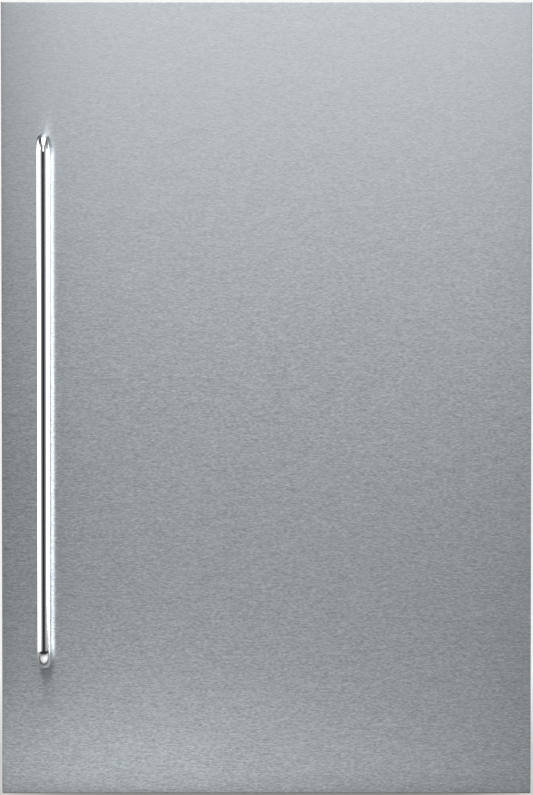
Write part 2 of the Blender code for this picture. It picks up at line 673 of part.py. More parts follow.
def make_hinge(name, plate_low, pin_start, pin_end, finish):
    """A flat bracket with a round nose, and the pin riveted into it."""
    nose, arm_back, plate_back = 9.0, CABINET_FRONT + 6, CABINET_FRONT + 60
    outline = [(HINGE_X + nose, plate_back), (HINGE_X - 32, plate_back), (HINGE_X - 32, arm_back)]
    outline += [(HINGE_X - nose, arm_back)]
    for k in range(9):
        a = math.pi + math.pi * k / 8
        outline.append((HINGE_X + nose * math.cos(a), HINGE_Y + nose * math.sin(a)))
    bracket = prism(name, outline, "Z", plate_low, plate_low + 3, finish["galvanised"])
    start = (HINGE_X, HINGE_Y, min(pin_start, pin_end))
    pin = rods(name + "_pin", [start], (0, 0, 1), 4.0, abs(pin_end - pin_start), 16)
    join(bracket, pin)


def make_hinges(finish):
    make_hinge("hinge_bracket_top", CABINET_TOP + GAP, CABINET_TOP + 1, DOOR_TOP - 20, finish)
    low = CABINET_BASE - GAP - 3
    make_hinge("hinge_bracket_bottom", low, low + 2, DOOR_BOTTOM + 20, finish)
    cap_low = (HINGE_X - 36, CABINET_FRONT + 4, CABINET_TOP + 3 + 2 * GAP)
    box("hinge_cap", cap_low, (SIDE - 4, CABINET_FRONT + 64, PANEL_TOP - 3), finish["grey"])


# ---------------------------------------------------------------- the door
def handle_ends():
    """Height of the middle of the upper and lower leg of the bar."""
    middle = (PANEL_BOTTOM + PANEL_TOP) / 2 - HANDLE_DROP
    half = HANDLE_LENGTH / 2 - HANDLE_RADIUS
    return {"top": middle + half, "bottom": middle - half}


def screw_holes(name, start, radius, length):
    x = HANDLE_INSET - PANEL_SIDE
    starts = [(x, start, z) for z in handle_ends().values()]
    return rods(name, starts, (0, 1, 0), radius, length, 12)


def make_panel(door_axis, finish):
    """The folded steel front, the board that stiffens it, and the two angles that carry it."""
    side = PANEL_SIDE
    skin = tray(
        "front_panel", (-side, FRONT, PANEL_BOTTOM), (side, PANEL_BACK, PANEL_TOP), SHEET,
        (0, 1, 0), finish["stainless"],
    )
    cut(skin, screw_holes("panel_screw_holes", FRONT - 5, 2.8, 12))
    inset = WALL_IN
    core = box(
        "panel_core", (inset - side, FRONT + inset, PANEL_BOTTOM + inset),
        (side - inset, PANEL_BACK - 0.5, PANEL_TOP - inset), finish["board"],
    )
    cut(core, screw_holes("core_screw_holes", FRONT - 5, 2.8, 40))
    cut(core, screw_holes("core_counterbores", PANEL_BACK - 5, 5.8, 12))
    made = [skin, core]
    for name, inner, outer in (
        ("panel_bracket_top", DOOR_TOP + GAP, PANEL_TOP - 2),
        ("panel_bracket_bottom", DOOR_BOTTOM - GAP, PANEL_BOTTOM + 2),
    ):
        thick = math.copysign(1.5, outer - inner)
        outline = [
            (DOOR_FRONT, inner), (DOOR_FRONT + 28, inner), (DOOR_FRONT + 28, inner + thick),
            (DOOR_FRONT + 1.5, inner + thick), (DOOR_FRONT + 1.5, outer), (DOOR_FRONT, outer),
        ]
        made.append(prism(name, outline, "X", -200, 180, finish["galvanised"]))
    for piece in made:
        hang(piece, door_axis)


def make_handle(door_axis, finish):
    """A round bar bent back at both ends to stand on the panel, held by screws from behind."""
    x, bar_y, foot_y = HANDLE_INSET - PANEL_SIDE, FRONT - HANDLE_STANDOFF, FRONT - GAP
    ends = handle_ends()
    corners = [
        (x, foot_y, ends["top"]), (x, bar_y, ends["top"]), (x, bar_y, ends["bottom"]),
        (x, foot_y, ends["bottom"]),
    ]
    path = rounded_path(corners, HANDLE_BEND, 6)
    bar = tube("handle_bar", path, HANDLE_RADIUS, finish["polished"], 24)
    cut(bar, screw_holes("handle_threads", foot_y - 18, 2.6, 24))
    hang(bar, door_axis)
    for which, z in ends.items():
        head = PANEL_BACK - 4.6
        profile = [(0, 30), (2.2, 30), (2.2, 0), (5.2, 0), (4.4, -3), (0, -3.4)]
        screw = turned(
            f"handle_screw_{which}", profile, (x, head, z), (0, -1, 0), 12, finish["galvanised"]
        )
        hang(screw, door_axis)


def make_door_body(door_axis, finish):
    side, low, high = DOOR_SIDE, DOOR_BOTTOM, DOOR_TOP
    shell = tray(
        "door_shell", (-side, DOOR_FRONT, low), (side, DOOR_BACK, high), SHEET, (0, 1, 0),
        finish["painted"],
    )
    bores = [(HINGE_X, HINGE_Y, low - 5), (HINGE_X, HINGE_Y, high - 24)]
    cut(shell, rods("shell_bush_holes", bores, (0, 0, 1), 6.6, 29, 16))
    in_side, in_low, in_high = side - WALL_IN, low + WALL_IN, high - WALL_IN
    liner_front = DOOR_BACK - 2.3
    foam = box(
        "door_foam", (-in_side, DOOR_FRONT + WALL_IN, in_low),
        (in_side, liner_front - GAP, in_high), finish["foam"],
    )
    cut(foam, rods("foam_bush_holes", bores, (0, 0, 1), 6.6, 29, 16))
    liner = box(
        "door_liner", (-in_side, liner_front, in_low), (in_side, DOOR_BACK, in_high),
        finish["white"],
    )
    dykes, hollows = [], []
    tip = DOOR_BACK + 64.7
    for x in (-225, 205):
        dykes.append(((x, DOOR_BACK - 1, 90), (x + 20, tip, 780)))
        hollows.append(((x + 2, DOOR_BACK - 5, 92), (x + 18, tip - 2, 778)))
    join(liner, boxes("dykes", dykes, None))
    cut(liner, boxes("dyke_hollows", hollows, None))
    seal_low = (-HINGE_X, DOOR_BACK + GAP, 48)
    gasket = ring(
        "door_gasket", seal_low, (HINGE_X, CABINET_FRONT - GAP, 834), (18, 18, 18),
        finish["seal"],
    )
    made = [shell, foam, liner, gasket]
    for number, (floor, height) in enumerate(BINS, 1):
        corner = (BIN_SIDE, BIN_FRONT, floor + height)
        made.append(
            tray(
                f"door_bin_{number}", (-BIN_SIDE, BIN_BACK, floor), corner, BIN_WALL,
                (0, 0, 1), finish["clear"],
            )
        )
    for name, flange, face, end in (
        ("hinge_bush_top", CABINET_TOP, high + GAP, high - 22),
        ("hinge_bush_bottom", CABINET_BASE, low - GAP, low + 22),
    ):
        profile = [(4.35, flange), (8.5, flange), (8.5, face), (6.2, face), (6.2, end), (4.35, end)]
        made.append(
            turned(name, profile, (HINGE_X, HINGE_Y, 0), (0, 0, 1), 16, finish["grey"], True)
        )
    for piece in made:
        hang(piece, door_axis)


def main():
    clear_scene()
    finish = make_materials()
    make_casing(finish)
    make_insulation(finish)
    make_liner(finish)
    make_shelves(finish)
    make_crisper(finish)
    make_controls(finish)
    make_air_duct(finish)
    make_fan(finish)
    make_compressor(finish)
    make_refrigerant_lines(finish)
    make_drain(finish)
    make_electrics(finish)
    make_feet(finish)
    make_hinges(finish)
    door_axis = pivot("door_axis", (HINGE_X, HINGE_Y, DOOR_BOTTOM))
    make_panel(door_axis, finish)
    make_handle(door_axis, finish)
    make_door_body(door_axis, finish)


main()
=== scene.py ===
"""The looks of an undercounter refrigerator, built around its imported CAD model."""

import json
import math

import bmesh
import bpy
from mathutils import Matrix, Vector


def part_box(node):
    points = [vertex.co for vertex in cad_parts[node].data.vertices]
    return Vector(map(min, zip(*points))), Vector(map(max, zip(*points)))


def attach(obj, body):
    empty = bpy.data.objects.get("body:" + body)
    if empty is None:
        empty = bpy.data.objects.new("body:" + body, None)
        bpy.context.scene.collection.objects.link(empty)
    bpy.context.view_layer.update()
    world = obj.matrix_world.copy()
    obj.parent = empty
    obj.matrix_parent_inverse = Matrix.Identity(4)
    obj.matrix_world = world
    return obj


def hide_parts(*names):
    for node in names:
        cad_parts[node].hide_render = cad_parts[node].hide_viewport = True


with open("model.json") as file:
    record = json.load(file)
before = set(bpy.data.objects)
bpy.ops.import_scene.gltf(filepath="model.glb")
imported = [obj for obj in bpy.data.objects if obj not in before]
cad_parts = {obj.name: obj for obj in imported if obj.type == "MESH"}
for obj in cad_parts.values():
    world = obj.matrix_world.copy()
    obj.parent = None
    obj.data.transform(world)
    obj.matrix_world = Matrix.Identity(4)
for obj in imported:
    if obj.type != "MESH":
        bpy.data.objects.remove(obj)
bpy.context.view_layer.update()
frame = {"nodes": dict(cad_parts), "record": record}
NODES = frame["nodes"]
MM = 0.001
GAP = 0.3  # between neighbouring CAD pieces
SHEET = 1.0  # folded steel sheet
STEP_FRONT = 82.5  # front of the step over the machine compartment
SHELF_LEVELS, SPARE_LEVELS = (620.0, 450.0), (700.0, 535.0, 360.0)
BIN_FLOORS = (640.0, 420.0, 100.0)
FAN_REACH = 42.5


# ---------------------------------------------------------------- shapes, in millimetres
def extent(node):
    """A CAD node's lowest and highest corner, in millimetres."""
    return tuple(Vector(corner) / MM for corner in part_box(node))


def softened(points, radius, steps=3, closed=False):
    """An outline with each corner turned into an arc, of one radius or of a list's radius in turn."""
    points = [Vector(point) for point in points]
    radii = radius if isinstance(radius, (list, tuple)) else [radius] * len(points)
    made = []
    for k, corner in enumerate(points):
        if not closed and k in (0, len(points) - 1):
            made.append(corner)
            continue
        back, ahead = points[k - 1] - corner, points[(k + 1) % len(points)] - corner
        half = back.angle(ahead) / 2
        reach = min(radii[k] / math.tan(half), 0.49 * back.length, 0.49 * ahead.length)
        size = reach * math.tan(half)
        back, ahead = back.normalized(), ahead.normalized()
        centre = corner + (back + ahead).normalized() * size / math.sin(half)
        first, last = corner + back * reach - centre, corner + ahead * reach - centre
        for step in range(steps + 1):
            made.append(centre + first.slerp(last, step / steps).normalized() * size)
    return made


def drawn_in(points, inset, closed=True):
    """An outline moved to its left by inset, side by side."""
    points = [Vector(point) for point in points]
    made = []
    for k, corner in enumerate(points):
        sides = []
        if closed or k > 0:
            sides.append(corner - points[k - 1])
        if closed or k < len(points) - 1:
            sides.append(points[(k + 1) % len(points)] - corner)
        normals = [Vector((-side.y, side.x)).normalized() for side in sides]
        first, last = normals[0], normals[-1]
        made.append(corner + (first + last) * inset / (1 + first.dot(last)))
    return made


def placed(axis, a, b, depth):
    """A point from its two coordinates across an axis and the one along it."""
    return {"X": (depth, a, b), "Y": (a, depth, b), "Z": (a, b, depth)}[axis]


def bridge(shape, loops, ring=True, wrap=False, ends=False):
    """Faces between loops of as many points each. A loop of one point closes an end, and ends fills both."""
    pairs = list(zip(loops, loops[1:]))
    if wrap:
        pairs.append((loops[-1], loops[0]))
    for near, far in pairs:
        count = max(len(near), len(far))
        for k in range(count if ring else count - 1):
            corners = [near[k % len(near)], near[(k + 1) % len(near)]]
            corners += [far[(k + 1) % len(far)], far[k % len(far)]]
            shape.faces.new(list(dict.fromkeys(corners)))
    if ends:
        shape.faces.new(loops[0])
        shape.faces.new(loops[-1])


def moulded(shape, low, high, axis, profile, corner, steps=6, wrap=False):
    """A rectangular piece with round corners. Its skin follows the profile, (inset, depth) points from the
    rectangle's sides inwards and along the axis. Its first and last ring are filled, or joined by wrap."""
    loops = []
    for inset, depth in profile:
        size = max(corner - inset, 0.15)
        reach = [(low[n] + inset + size, high[n] - inset - size) for n in (0, 1)]
        ring = []
        for quarter, (i, j) in enumerate(((1, 1), (0, 1), (0, 0), (1, 0))):
            for step in range(steps + 1):
                turn = math.pi / 2 * (quarter + step / steps)
                a, b = reach[0][i] + size * math.cos(turn), reach[1][j] + size * math.sin(turn)
                ring.append(shape.verts.new(placed(axis, a, b, depth)))
        loops.append(ring)
    bridge(shape, loops, wrap=wrap, ends=not wrap)


def block(shape, low, high, edge=1.0, corner=2.0, axis="Z"):
    """A solid block with round edges, and rounder corners about the axis."""
    across = [n for n in range(3) if "XYZ"[n] != axis]
    along = "XYZ".index(axis)
    flat = 2.1 * edge
    profile = [(flat, low[along]), (0, low[along]), (0, high[along]), (flat, high[along])]
    moulded(
        shape, [low[n] for n in across], [high[n] for n in across], axis, softened(profile, edge),
        max(corner, edge),
    )


def turned(shape, profile, centre, axis=(0, 0, 1), sides=40, wrap=False, stretch=(1, 1)):
    """Turns (radius, height) points about an axis through centre. A third item is a function of the angle
    that scales the radius, which makes a point's ring a hexagon or a cross."""
    turn = Vector((0, 0, 1)).rotation_difference(Vector(axis)).to_matrix()
    loops = []
    for radius, height, *wave in profile:
        ring = []
        for k in range(sides if radius > 0 else 1):
            a = math.tau * k / sides
            r = radius * wave[0](a) if wave else radius
            place = Vector((r * math.cos(a) * stretch[0], r * math.sin(a) * stretch[1], height))
            ring.append(shape.verts.new(turn @ place + Vector(centre)))
        loops.append(ring)
    bridge(shape, loops, wrap=wrap)


def swept(shape, path, radius, sides=16, dome=0.0):
    """Sweeps a circle along a path with mitred corners. A dome rounds off both ends."""
    path = [Vector(place) for place in path]
    runs = [(after - before).normalized() for before, after in zip(path, path[1:])]
    across = runs[0].orthogonal().normalized()
    loops = []
    for k, place in enumerate(path):
        arrive, leave = runs[max(k - 1, 0)], runs[min(k, len(runs) - 1)]
        across = (across - arrive * across.dot(arrive)).normalized()
        up = arrive.cross(across)
        mitre = (arrive + leave).normalized()
        ring = []
        for s in range(sides):
            a = math.tau * s / sides
            reach = radius * (math.cos(a) * across + math.sin(a) * up)
            reach -= arrive * reach.dot(mitre) / arrive.dot(mitre)
            ring.append(place + reach)
        loops.append(ring)
    for end, run in ((0, -runs[0]), (-1, runs[-1])):
        caps = []
        for share, out in ((0.92, 0.38), (0.7, 0.71), (0.38, 0.92)) if dome else ((0.9, 0.0),):
            middle = path[end] + run * dome * out
            caps.append([middle + (point - path[end]) * share for point in loops[end]])
        loops = list(reversed(caps)) + loops if end == 0 else loops + caps
    made = [[shape.verts.new(point) for point in ring] for ring in loops]
    bridge(shape, made, ends=True)


def extruded(shape, outline, axis, start, end, edge=0.4):
    """A closed outline drawn along an axis, its ends drawn in a little. The outline runs anticlockwise."""
    loops = []
    for inset, depth in ((edge, start), (0, start + edge), (0, end - edge), (edge, end)):
        ring = drawn_in(outline, inset)
        loops.append([shape.verts.new(placed(axis, a, b, depth)) for a, b in ring])
    bridge(shape, loops, ends=True)


def rounded_ends(low, high, radius, steps):
    """(place, inset) stations along a piece whose two ends are rounded off."""
    turns = [math.pi / 2 * k / steps for k in range(steps + 1)]
    arc = [(radius * (1 - math.cos(turn)), radius * (1 - math.sin(turn))) for turn in turns]
    return [(low + out, inset) for out, inset in arc] + [(high - out, inset) for out, inset in reversed(arc)]


def bead_height(a, b, beads, half):
    """From 0 to 1, how far a pressed bead lifts the point (a, b). A bead is a line between two points."""
    height = 0.0
    for first, last in beads:
        first, last, point = Vector(first), Vector(last), Vector((a, b))
        line = last - first
        share = min(max((point - first).dot(line) / line.length_squared, 0), 1)
        away = min((point - first - line * share).length / half, 1)
        height = max(height, 0.5 + 0.5 * math.cos(math.pi * away))
    return height


def pressed_sheet(shape, low, high, axis, face, back, beads, rise, half=11.0):
    """A flat sheet with beads pressed out of it, on lines that lie close together only about the beads."""
    lines = []
    for n in (0, 1):
        marks = {low[n], high[n]}
        for bead in beads:
            for end in bead:
                marks.update(end[n] + half * step / 5 for step in range(-5, 6))
        lines.append(sorted(mark for mark in marks if low[n] <= mark <= high[n]))
    sides = []
    for depth in (face, back):
        rows = []
        for b in lines[1]:
            row = []
            for a in lines[0]:
                lift = rise * bead_height(a, b, beads, half)
                row.append(shape.verts.new(placed(axis, a, b, depth + lift)))
            rows.append(row)
        bridge(shape, rows, ring=False)
        sides.append(rows)
    rims = [
        [*rows[0], *(row[-1] for row in rows[1:-1]), *reversed(rows[-1]), *(row[0] for row in rows[-2:0:-1])]
        for rows in sides
    ]
    bridge(shape, rims)


def cross(angle):
    return 0.42 + 0.58 * max(0.0, math.cos(4 * angle)) ** 0.5


def hexagon(angle):
    return math.cos(math.pi / 6) / math.cos(angle % (math.pi / 3) - math.pi / 6)


# Profiles for a radius of 1, as (radius, height) and what shapes the ring there: a pan head with a cross
# recess, and a nut with the end of its stud.
SCREW = (
    (0, 0), (1, 0), (1, 0.12), (0.94, 0.36), (0.78, 0.52), (0.55, 0.6), (0.5, 0.6, cross),
    (0.34, 0.22, cross), (0, 0.18),
)
NUT = (
    (0, 0), (0.84, 0), (1, 0.1, hexagon), (1, 0.72, hexagon), (0.84, 0.82), (0.5, 0.82), (0.5, 1.15),
    (0.42, 1.25), (0, 1.25),
)


def mesh_of(name, shape):
    mesh = bpy.data.meshes.new(name)
    shape.to_mesh(mesh)
    shape.free()
    return mesh


def linked(name, data):
    obj = bpy.data.objects.new(name, data)
    bpy.context.scene.collection.objects.link(obj)
    return obj


def piece(name, shape, slot, stands_for=None, body="cabinet", look=None, angle=38, weighted=True):
    """Makes a bmesh drawn in millimetres into a smooth object that rides on a body, and may stand for a CAD
    node."""
    bmesh.ops.recalc_face_normals(shape, faces=shape.faces)
    mesh = mesh_of(name, shape)
    mesh.transform(Matrix.Scale(MM, 4))
    mesh.materials.append(look or LOOKS[slot])
    mesh.shade_smooth()
    mesh.set_sharp_from_angle(angle=math.radians(angle))
    obj = linked(name, mesh)
    if weighted:
        obj.modifiers.new("normals", "WEIGHTED_NORMAL").keep_sharp = True
    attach(obj, body)
    if stands_for:
        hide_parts(stands_for)
    return obj


def fixings(name, places, axis, radius=3.6, kind=SCREW, shape=None):
    """One piece of plated screw heads or nuts on the cabinet, all facing along the axis."""
    shape = shape or bmesh.new()
    for place in places:
        turned(shape, [(r * radius, h * radius, *wave) for r, h, *wave in kind], place, axis, 24)
    piece(name, shape, "galvanised", look=LOOKS["plated"])


# ---------------------------------------------------------------- node materials
class Nodes:
    """A node tree, and the few recipes that the looks and the room are made of."""

    def __init__(self, tree):
        self.tree = tree

    def node(self, kind, feeds=(), **settings):
        """A new node. Each feed is a socket and what goes into it: another node's output or a plain value."""
        made = self.tree.nodes.new("ShaderNode" + kind)
        for key, value in settings.items():
            if key in made.inputs:
                made.inputs[key].default_value = value
            else:
                setattr(made, key, value)
        for socket, source in feeds:
            if isinstance(source, bpy.types.NodeSocket):
                self.tree.links.new(source, made.inputs[socket])
            else:
                made.inputs[socket].default_value = source
        return made

    def spread(self, value, low, high, start=0.35, end=0.65):
        """Maps a texture's start to end onto low to high."""
        ramp = [("Value", value), ("From Min", start), ("From Max", end), ("To Min", low), ("To Max", high)]
        return self.node("MapRange", ramp).outputs[0]

    def sum(self, first, second, operation="ADD"):
        return self.node("Math", [(0, first), (1, second)], operation=operation).outputs[0]


class Look(Nodes):
    """A Principled material. Its sockets' names are given with _ for each space."""

    def __init__(self, name, colour, roughness, metallic=0.0, **sockets):
        self.material = bpy.data.materials.new(name)
        self.material.use_nodes = True
        super().__init__(self.material.node_tree)
        self.shader = self.tree.nodes["Principled BSDF"]
        self.colour = (*colour, 1.0)
        self.roughness = roughness
        values = {"Base_Color": self.colour, "Roughness": roughness, "Metallic": metallic, **sockets}
        for socket, value in values.items():
            self.shader.inputs[socket.replace("_", " ")].default_value = value
        self.coordinates = self.node("TexCoord").outputs["Object"]
        self.height = None

    def set(self, socket, source):
        self.tree.links.new(source, self.shader.inputs[socket])

    def base(self, channels):
        """What the base colour is so far: a plain colour or the last texture's output."""
        links = self.shader.inputs["Base Color"].links
        return links[0].from_socket if links else self.colour[:channels]

    def place(self, stretch=(1, 1, 1)):
        """Coordinates in metres that stay on the piece, stretched by a factor along each axis."""
        return self.node("Mapping", [("Vector", self.coordinates)], Scale=stretch).outputs[0]

    def noise(self, scale, detail=3.0, roughness=0.55, stretch=(1, 1, 1)):
        feeds = [("Vector", self.place(stretch))]
        return self.node("TexNoise", feeds, Scale=scale, Detail=detail, Roughness=roughness).outputs["Fac"]

    def cells(self, scale, output="Distance"):
        return self.node("TexVoronoi", [("Vector", self.place())], Scale=scale).outputs[output]

    def shade(self, value, amount, start=0.35, end=0.65):
        """Darkens and lightens the base colour by a texture, by the given share each way."""
        self.tint_by(self.spread(value, 1 - amount, 1 + amount, start, end))

    def tint_by(self, factor):
        feeds = [(0, self.base(3)), ("Scale", factor)]
        self.set("Base Color", self.node("VectorMath", feeds, operation="SCALE").outputs[0])

    def blend_to(self, colour, factor):
        """Mixes another colour in by a texture."""
        feeds = [(0, factor), (6, self.base(4)), (7, (*colour, 1.0))]
        self.set("Base Color", self.node("Mix", feeds, data_type="RGBA").outputs[2])

    def gloss(self, value, amount, start=0.35, end=0.65):
        """Varies the roughness by a texture, by the given amount each way."""
        low, high = self.roughness - amount, self.roughness + amount
        self.set("Roughness", self.spread(value, low, high, start, end))

    def bump(self, value, depth, strength=1.0):
        """Raises the surface by depth, in metres, where a texture is high."""
        feeds = [("Height", value)]
        if self.height is not None:
            feeds.append(("Normal", self.height))
        self.height = self.node("Bump", feeds, Strength=strength, Distance=depth).outputs[0]
        self.set("Normal", self.height)

    def brushed_about_z(self):
        """Turns the brushing's direction with the surface, about the upright axis."""
        self.set("Tangent", self.node("Tangent", direction_type="RADIAL", axis="Z").outputs[0])


def noisy(name, colour, roughness, metallic=0.0, shade=(), gloss=(), bump=(), **sockets):
    """A look that only noises vary. Shade, gloss and bump list each noise's settings and how far it goes."""
    look = Look(name, colour, roughness, metallic, **sockets)
    for change, noises in ((look.shade, shade), (look.gloss, gloss), (look.bump, bump)):
        for noise, *amounts in noises:
            change(look.noise(*noise), *amounts)
    return look.material


def moulded_plastic(name, colour, roughness, grain=1500.0, depth=0.00003, variation=0.03):
    return noisy(
        name, colour, roughness, shade=[((12, 3), variation)], gloss=[((40, 4, 0.6), 0.05)],
        bump=[((grain, 2, 0.5), depth, 0.5)],
    )


def brushed_steel():
    """Stainless steel with a fine brushing that runs across the door: it blurs reflections up and down. The
    grain is weaker towards the top, a fade painted to copy the even light that the top reflects. A thin line
    of painted shade follows the sides and the foot of the front's face."""
    look = Look(
        "steel_brushed", (0.614, 0.655, 0.684), 0.285, 1.0, Anisotropic=1.0, Anisotropic_Rotation=0.25,
    )
    look.brushed_about_z()
    dashes = look.noise(1.0, 2, 0.5, (290, 400, 2800))
    long_lines = look.noise(1.0, 2, 0.5, (50, 400, 2400))
    lines = look.sum(dashes, look.sum(long_lines, 0.22, "MULTIPLY"))
    x, y, z = look.node("SeparateXYZ", [("Vector", look.place())]).outputs
    # Painted light: the grain itself is real, but its fade towards the top copies the even light that the top
    # reflects.
    strength = look.spread(z, 1.0, 0.42, 0.45, 0.80)
    grain = look.sum(look.spread(lines, -0.46, 0.46, 0.37, 0.85), strength, "MULTIPLY")
    look.tint_by(look.sum(1.0, grain))
    look.gloss(dashes, 0.006)
    look.bump(lines, 0.00002, 0.5)
    # Painted shade: a thin dark line darkens the face's outermost strip along its sides and foot.
    painted_edge_shade = 0.65
    sides = look.spread(look.sum(x, 0.0, "ABSOLUTE"), 0.0, painted_edge_shade, 0.2850, 0.2856)
    foot = look.spread(z, painted_edge_shade, 0.0, 0.0094, 0.0100)
    on_face = look.spread(y, 1.0, 0.0, -0.2812, -0.2802)
    rim = look.sum(look.sum(sides, foot, "MAXIMUM"), on_face, "MULTIPLY")
    look.tint_by(look.sum(1.0, rim, "SUBTRACT"))
    return look.material


def zinc_steel():
    """Zinc-coated sheet with its crystal spangle."""
    look = Look("steel_zinc", (0.56, 0.58, 0.60), 0.38, 1.0)
    spangle = look.cells(95, output="Color")
    value = look.node("SeparateColor", [("Color", spangle)]).outputs[0]
    look.shade(value, 0.07, 0.0, 1.0)
    look.gloss(value, 0.03, 0.0, 1.0)
    look.bump(look.noise(600, 3), 0.00002, 0.4)
    return look.material


def copper():
    """Drawn copper tube, darkened in patches by handling and heat."""
    look = Look("copper_drawn", (0.78, 0.40, 0.25), 0.36, 1.0)
    patches = look.noise(55, 5, 0.65)
    look.blend_to((0.34, 0.16, 0.09), look.spread(patches, 0.0, 0.75, 0.5, 0.72))
    look.gloss(patches, 0.07)
    look.bump(look.noise(900, 3), 0.00002, 0.4)
    return look.material


def aluminium():
    look = Look("aluminium_satin", (0.78, 0.79, 0.80), 0.34, 1.0, Anisotropic=0.4)
    look.brushed_about_z()
    lines = look.noise(1.0, 3, 0.6, (30, 900, 1400))
    look.shade(lines, 0.08)
    look.gloss(look.noise(50, 3), 0.05)
    look.bump(lines, 0.00001, 0.3)
    return look.material


def enamel():
    """Black baked enamel with a little dust lying on it."""
    look = Look("enamel_black", (0.016, 0.016, 0.018), 0.36, Coat_Weight=0.3)
    look.gloss(look.noise(45, 4, 0.6), 0.08)
    look.bump(look.noise(500, 2), 0.00005, 0.4)
    up = look.node("SeparateXYZ", [("Vector", look.node("NewGeometry").outputs["Normal"])]).outputs[2]
    specks = look.spread(look.noise(120, 5, 0.7), 0, 1)
    look.blend_to((0.32, 0.30, 0.27), look.sum(look.spread(up, 0.0, 0.22, 0.3, 1.0), specks, "MULTIPLY"))
    return look.material


def foam():
    look = Look("foam_rigid", (0.84, 0.74, 0.45), 0.85)
    look.shade(look.noise(25, 4), 0.12)
    look.bump(look.cells(320), 0.0006, 0.6)
    return look.material


def diffuser():
    """A ribbed lens with the lamp lit behind it."""
    look = Look(
        "lamp_frosted", (0.93, 0.93, 0.90), 0.35, Transmission_Weight=0.35, Emission_Strength=20.0,
        Emission_Color=(1.0, 0.93, 0.82, 1.0),
    )
    ribs = look.node("TexWave", [("Vector", look.place())], Scale=60.0)
    look.bump(ribs.outputs["Fac"], 0.0004, 0.6)
    look.gloss(look.noise(80, 3), 0.05)
    return look.material


DRAWN = (1.0, 2, 0.5, (2600, 2600, 30))  # a noise drawn out along the bar
LOOKS = {
    "stainless": brushed_steel(),
    "polished": noisy(
        "steel_polished", (0.86, 0.87, 0.88), 0.07, 1.0, shade=[(DRAWN, 0.02)],
        gloss=[((28, 4, 0.6), 0.025)], bump=[(DRAWN, 0.000004, 0.2)],
    ),
    "painted": noisy(  # powder coat with a fine orange peel
        "paint_grey", (0.40, 0.41, 0.42), 0.42, shade=[((30, 3, 0.5), 0.012), ((2400, 1), 0.05)],
        gloss=[((60, 3), 0.03)], bump=[((900, 2, 0.45), 0.00006, 0.5)],
    ),
    "galvanised": zinc_steel(),
    "plated": noisy(
        "steel_plated", (0.60, 0.61, 0.61), 0.37, 1.0, shade=[((60, 4, 0.6), 0.04)],
        gloss=[((150, 4, 0.6), 0.05)], bump=[((1400, 2), 0.00001, 0.4)],
    ),
    "white": moulded_plastic("plastic_white", (0.83, 0.845, 0.85), 0.36, 1100.0, 0.00002, 0.012),
    "grey": moulded_plastic("plastic_grey", (0.30, 0.31, 0.32), 0.48),
    "black": enamel(),
    "black_plastic": moulded_plastic("plastic_black", (0.024, 0.024, 0.026), 0.45, 1300.0, 0.00004, 0.1),
    "clear": noisy(
        "plastic_clear", (0.955, 0.98, 0.985), 0.06, IOR=1.49, Transmission_Weight=1.0,
        gloss=[((60, 4, 0.6), 0.03)], bump=[((90, 2), 0.00004, 0.3)],
    ),
    "glass": noisy(
        "glass_toughened", (0.91, 0.97, 0.945), 0.02, IOR=1.52, Transmission_Weight=1.0,
        gloss=[((30, 4, 0.6), 0.015)], bump=[((16, 2), 0.00003, 0.2)],
    ),
    "seal": noisy(
        "seal_rubber", (0.33, 0.34, 0.35), 0.62, Sheen_Weight=0.15, shade=[((30, 4, 0.6), 0.08)],
        bump=[((1800, 2), 0.00003, 0.5)],
    ),
    "foam": foam(),
    "copper": copper(),
    "aluminium": aluminium(),
    "board": noisy(  # the laminate on the back of the board behind the steel front
        "laminate_grey", (0.47, 0.48, 0.49), 0.5, shade=[((700, 3), 0.07), ((10, 3), 0.03)],
        bump=[((1200, 2), 0.00003, 0.5)],
    ),
    "lamp": diffuser(),
}
PLATED = (
    "handle_screw_top", "handle_screw_bottom", "panel_bracket_top", "panel_bracket_bottom",
    "hinge_bracket_top", "hinge_bracket_bottom",
)


def dress_frame():
    """Gives each CAD node its look, and the small edge radius that its making would leave."""
    slots = {s["node"]: s["material_slot"] for s in frame["record"]["subparts"]}
    radii = {
        "painted": 0.35, "galvanised": 0.3, "white": 0.8, "grey": 0.8, "black": 0.8,
        "black_plastic": 0.8, "clear": 0.7, "glass": 0.6, "seal": 1.2, "aluminium": 0.4,
    }
    round_nodes = ("tube", "line", "cable", "drier", "hose", "rotor", "fins", "shell", "motor")
    for name, obj in NODES.items():
        slot = slots[name]
        look = LOOKS["plated" if name in PLATED else slot]
        for holder in obj.material_slots:
            holder.material = look
        if slot not in radii or any(word in name for word in round_nodes):
            continue
        weld = obj.modifiers.new("weld", "WELD")
        weld.merge_threshold = 0.00001
        bevel = obj.modifiers.new("edge_radius", "BEVEL")
        bevel.width = radii[slot] * MM
        bevel.segments = 3
        bevel.limit_method = "ANGLE"
        bevel.angle_limit = math.radians(40)
        bevel.harden_normals = False
        smooth = obj.modifiers.new("normals", "WEIGHTED_NORMAL")
        smooth.keep_sharp = True


# ---------------------------------------------------------------- the door
def folded_tray(name, node, slot, flat, bends, corner):
    """A steel sheet folded back along its four sides. The bends are the radii outside and inside the fold,
    and flat is how far in from the sides the plain face starts."""
    low, high = extent(node)
    front, back = low.y, high.y
    inner = front + SHEET
    profile = [(flat, front), (0, front), (0, back), (SHEET, back), (SHEET, inner), (flat + 1, inner)]
    profile = softened(profile, [0, bends[0], 0.45, 0.45, bends[1], 0], 5)
    shape = bmesh.new()
    moulded(shape, low.xz, high.xz, "Y", profile, corner)
    piece(name, shape, slot, node, "door")


def make_door_sheets():
    """The steel front, square to the eye, and the softer painted case behind it."""
    folded_tray("steel_front", "front_panel", "stainless", 6, (0.6, 0.4), 0.9)
    make_handle()
    folded_tray("door_case", "door_shell", "painted", 8, (2.2, 1.0), 2.2)


